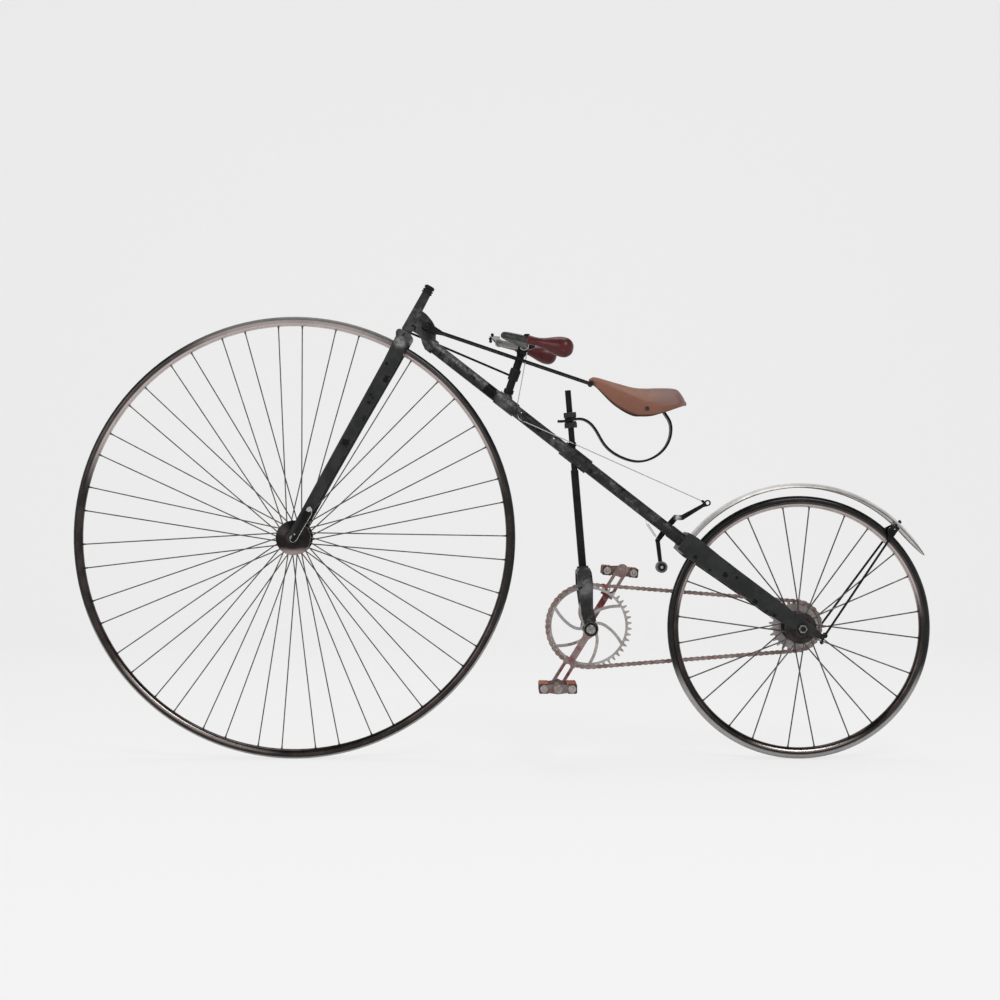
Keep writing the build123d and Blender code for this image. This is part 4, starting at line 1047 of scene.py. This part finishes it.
POST_FOOT = mm(-345.12, 0, -32.61)
BAR_CENTRE = mm(-301.65, 0, 97.31)
CROOKED = Matrix.Rotation(math.radians(2.5), 4, "X") @ Matrix.Rotation(math.radians(3.2), 4, "Z")
GRIP_STARTS = (  # the bar's bend and the grip's start, from the bar's centre
    (mm(-63, -200, 17), mm(-5, -216, 4)),
    (mm(-52, 200, 17), mm(-3, 208, 5.5)),
)
POST_PIN, CLAMP_BOLT = mm(-305.6, 0, 81.6), mm(-281.6, 0, 98.8)  # of the bar's clevis and clamp
CLIP_LOW = ((-376.5, 132.5), (-371, 126.9), (-363.7, 118.9), (-356.5, 117.7))  # x and z of its lower edge
CLIP_HIGH = ((-355.5, 127), (-356.5, 137.5), (-370, 138.6), (-383, 137.5))
CLIP_BOLTS = ((-375.0, 140.6), (-379.6, 131.0), (-379.0, 125.0))
CLIP_Y = 188.5
ROD_Y, ROD_FRONT, ROD_REAR = 47, 547, 77.5  # the steering rod's side, and its eyes up the two axes


def on_bar(place):
    return BAR_CENTRE + CROOKED @ place


def handlebar_trim():
    """Ferrules and knobs at the grips, bolts of the bar's clamp, its right arm's clip, and the rod's nuts."""
    ferrules = Piece()
    knobs = Piece()
    ferrule = [
        (8.1, -1.0), (9.6, -1.0), (10.1, -0.4), (10.1, 1.2), (9.7, 1.7), (9.4, 1.8), (9.2, 0.8), (8.1, 0.0),
    ]
    knob = [
        (4.4, -1.2), (4.4, 0.6), (3.0, 0.9), (3.0, 1.7), (6.0, 1.9), (6.6, 2.8), (6.2, 4.2), (4.6, 4.9),
        (0.8, 5.1),
    ]
    for bend, end in GRIP_STARTS:
        start, heading = on_bar(end), on_bar(end) - on_bar(bend)
        ferrules.turned(aimed(start, heading), ferrule, 32, True)
        knobs.turned(aimed(start - heading.normalized() * mm(3.5) + UP * mm(7.4), UP), knob, 20)
    ferrules.made("grip_ferrules", "handlebar", "bar_steel", COPPER)
    pin = [(6.4, 0), (6.6, 1.4), (5.8, 2.6), (3.6, 2.9), (3.0, 1.2), (0.6, 1.1)]
    knobs.turned(both(POST_PIN, 8.8), pin, 24)
    for place in both(CLAMP_BOLT, 8.8):
        knobs.nut(place, 12.0, 4.6, 2.4)
        knobs.turned(place, [(2.9, 0), (2.9, 6.0), (2.2, 6.8), (0.5, 6.9)], 12)
    knobs.made_iron("handlebar_bolts", "handlebar")

    clip = Piece()
    clip.slab(standing(-1, CLIP_Y), CLIP_LOW + CLIP_HIGH, 2.4, 0.5)
    bend = on_bar(GRIP_STARTS[1][0])
    arm = (on_bar(mm(0, 30, 0)) - bend).normalized()
    sleeve = [(8.1, 0), (9.6, 0), (9.9, 0.8), (9.9, 8.2), (9.6, 9), (8.1, 9)]
    clip.turned(aimed(bend + arm * mm(14), arm), sleeve, 28, True)
    clip.made("bar_clip", "handlebar", "bar_steel", WORN_STEEL)
    bolts = Piece()
    bolts.tube([mm(x, CLIP_Y - 1.9, z) for x, z in CLIP_LOW], 1.6, ends=0.6)
    for x, z in CLIP_BOLTS:
        place = aimed(mm(x, CLIP_Y - 3.9, z), (0, -1, 0))
        bolts.nut(place, 7.4, 3.4, 1.4)
        bolts.turned(place, [(1.7, -7), (1.7, 4.4), (1.2, 5.0), (0.4, 5.1)], 10)
    bolts.made_iron("bar_clip_bolts", "handlebar")

    rod = Piece()
    for foot, axis, up in ((FRONT_AXLE, FORK_AXIS, ROD_FRONT), (POST_FOOT, POST_AXIS, ROD_REAR)):
        place = aimed(foot + axis * mm(up) + mm(0, ROD_Y, 0), axis)
        rod.nut(place, 10.5, 3.4, 1.8)
        rod.turned(place, [(2.2, -2), (2.2, 4.2), (1.6, 4.8), (0.4, 4.9)], 12)
    rod.made("steering_rod_nuts", "steering_rod", "dull_steel", DARK_IRON)


# ---------------- brake and small fittings

SPRING_HIGH, SPRING_LOW = mm(-19.1, 5, -309.9), mm(3.7, 13, -342)
SPRING_FIXED, SPRING_HOOKED = mm(-21, 4, -300), mm(6.5, 14.5, -347)  # in the backbone, and on the lever
COIL_TURNS, COIL_STEPS, COIL_RADIUS = 15, 10, 2.6
ROLLER = mm(14.7, 0, -410.6)
CORD_HEADING = (423, 11.2, -188.6)  # of the cord's long run
CORD_HOOK = (  # of the wire hook that turns the cord at the backbone
    (-307, -13.2, -57), (-301, -15.2, -61), (-297.4, -16.4, -67), (-300.5, -17.0, -73), (-307, -17.6, -74.6),
)
CORD_SCREWS = (mm(-307.0, -12.6, -56.7), mm(-232.7, -12.6, -115.5))


def brake_trim():
    """The return spring, the cord's bead, its guide and hook, bright screws, and the roller's washers."""
    spring = Piece()
    place = aimed(SPRING_HIGH, SPRING_LOW - SPRING_HIGH)
    length = (SPRING_LOW - SPRING_HIGH).length * 1000
    wire = [SPRING_FIXED, place @ mm(0, 0, -1), place @ mm(1.2, 0, 1.6)]
    for i in range(COIL_TURNS * COIL_STEPS + 1):
        down = 3 + (length - 6) * i / (COIL_TURNS * COIL_STEPS)
        angle = math.tau * i / COIL_STEPS
        wire.append(place @ mm(COIL_RADIUS * math.cos(angle), COIL_RADIUS * math.sin(angle), down))
    wire += [place @ mm(1.2, 0, length - 1.6), place @ mm(0, 0, length + 1), SPRING_HOOKED]
    spring.tube(wire, 0.48, 5)
    spring.made("brake_spring", "frame", "dull_steel", WORN_STEEL)

    small = Piece()
    bead = [(1.2, -3.4), (2.5, -2.8), (3.0, -1.0), (3.0, 1.0), (2.5, 2.8), (1.2, 3.4)]
    small.turned(aimed(mm(109.4, -5.1, -259.7), (423, 11, -189)), bead, 14)
    collar = [(6.95, 0), (8.6, 0), (9.0, 0.6), (9.0, 9.4), (8.6, 10), (6.95, 10)]
    small.turned(aimed(SEAT_CROSSING + SEAT_AXIS * mm(21), SEAT_AXIS), collar, 28, True)
    eye = aimed(mm(-186.0, -12.86, -127.98), CORD_HEADING, (0, 1, 0))
    small.turned(eye, [(1.9, -1.6), (3.4, -1.6), (3.8, 0), (3.4, 1.6), (1.9, 1.6)], 16, True)
    small.tube([mm(-186.2, -9.6, -128.4), mm(-188.0, -6.6, -129.0)], 2.0)
    small.tube([mm(*row) for row in smooth_rows(CORD_HOOK, 5)], 1.2, ends=0.7)
    small.made_iron("cord_fittings", "frame")

    bright = Piece()
    screws = [aimed(centre, (0.30, -1, 0.38)) for centre in CORD_SCREWS]
    bright.turned(screws, [(2.6, -0.6), (2.6, 0.6), (1.9, 1.4), (0.4, 1.7)], 14)
    pin_ends = [beside(ROLLER, -13.8), beside(ROLLER, 17.6)]
    bright.turned(pin_ends, [(3.6, 0), (3.8, 1.0), (2.8, 2.2), (1.4, 2.8), (0.4, 2.9)], 20)
    bright.made("bright_screws", "frame", "dull_steel", WORN_STEEL)
    roller = Piece()
    near = [(3.4, 0), (8.8, 0), (9.2, 0.7), (8.6, 1.4), (7.6, 1.2), (6.6, 1.8), (3.4, 1.9)]
    roller.turned(beside(ROLLER, -11.9), near, 32, True)
    roller.turned(beside(ROLLER, 11.9), [(3.4, 0), (8.8, 0), (9.2, 0.7), (8.6, 1.4), (3.4, 1.6)], 32, True)
    roller.made("roller_washers", "frame", "roller_rubber", DARK_IRON)


# ---------------- mudguard

GUARD_CENTRE = mm(333.5, 0, -547.6)
GUARD_CREST, GUARD_SWEEP, GUARD_HALF = 330.0, 48.0, 27.8  # radii along and across its crest, half its width
GUARD_FRONT, GUARD_REAR, GUARD_TONGUE = 141.0, 29.9, 12.0  # degrees: its ends, its rounded end's length
GUARD_LENGTHS, GUARD_WIDTHS = 140, 8  # of mesh along it, and on each side of its middle


def on_guard(angle, across, below=0.0):
    """A place on the mudguard: across is -1 and 1 at its edges, which draw in at the rear end."""
    short = max(0.0, 1 - (angle - GUARD_REAR) / GUARD_TONGUE)
    y = across * max(0.5, GUARD_HALF * math.sqrt(1 - short**2))
    drop = GUARD_SWEEP - math.sqrt(GUARD_SWEEP**2 - y**2)
    return GUARD_CENTRE + polar(GUARD_CREST - drop - below, angle, y)


def mudguard():
    """The mudguard's arched sheet with its rounded end, and rolled wires along both edges."""
    turn = (GUARD_REAR - GUARD_FRONT) / GUARD_LENGTHS
    angles = [GUARD_FRONT + turn * step for step in range(GUARD_LENGTHS + 1)]
    widths = [step / GUARD_WIDTHS for step in range(-GUARD_WIDTHS, GUARD_WIDTHS + 1)]
    rows = [[on_guard(angle, across) for across in widths] for angle in angles]
    sheet_piece("mudguard_sheet", rows, 1.3, SLOTS["nickel_plate"], "mudguard")
    beads = Piece()
    for side in SIDES:
        beads.tube([on_guard(angle, side, 0.8) for angle in angles], 1.1, ends=0.6)
    beads.made("mudguard_beads", "frame", "nickel_plate", DARK_NICKEL)


saddle()
spoke_ends()
hub_dishes()
chain_pins()
crank_trim()
pedal_trim()
fork_trim()
axle_trim()
handlebar_trim()
brake_trim()
mudguard()
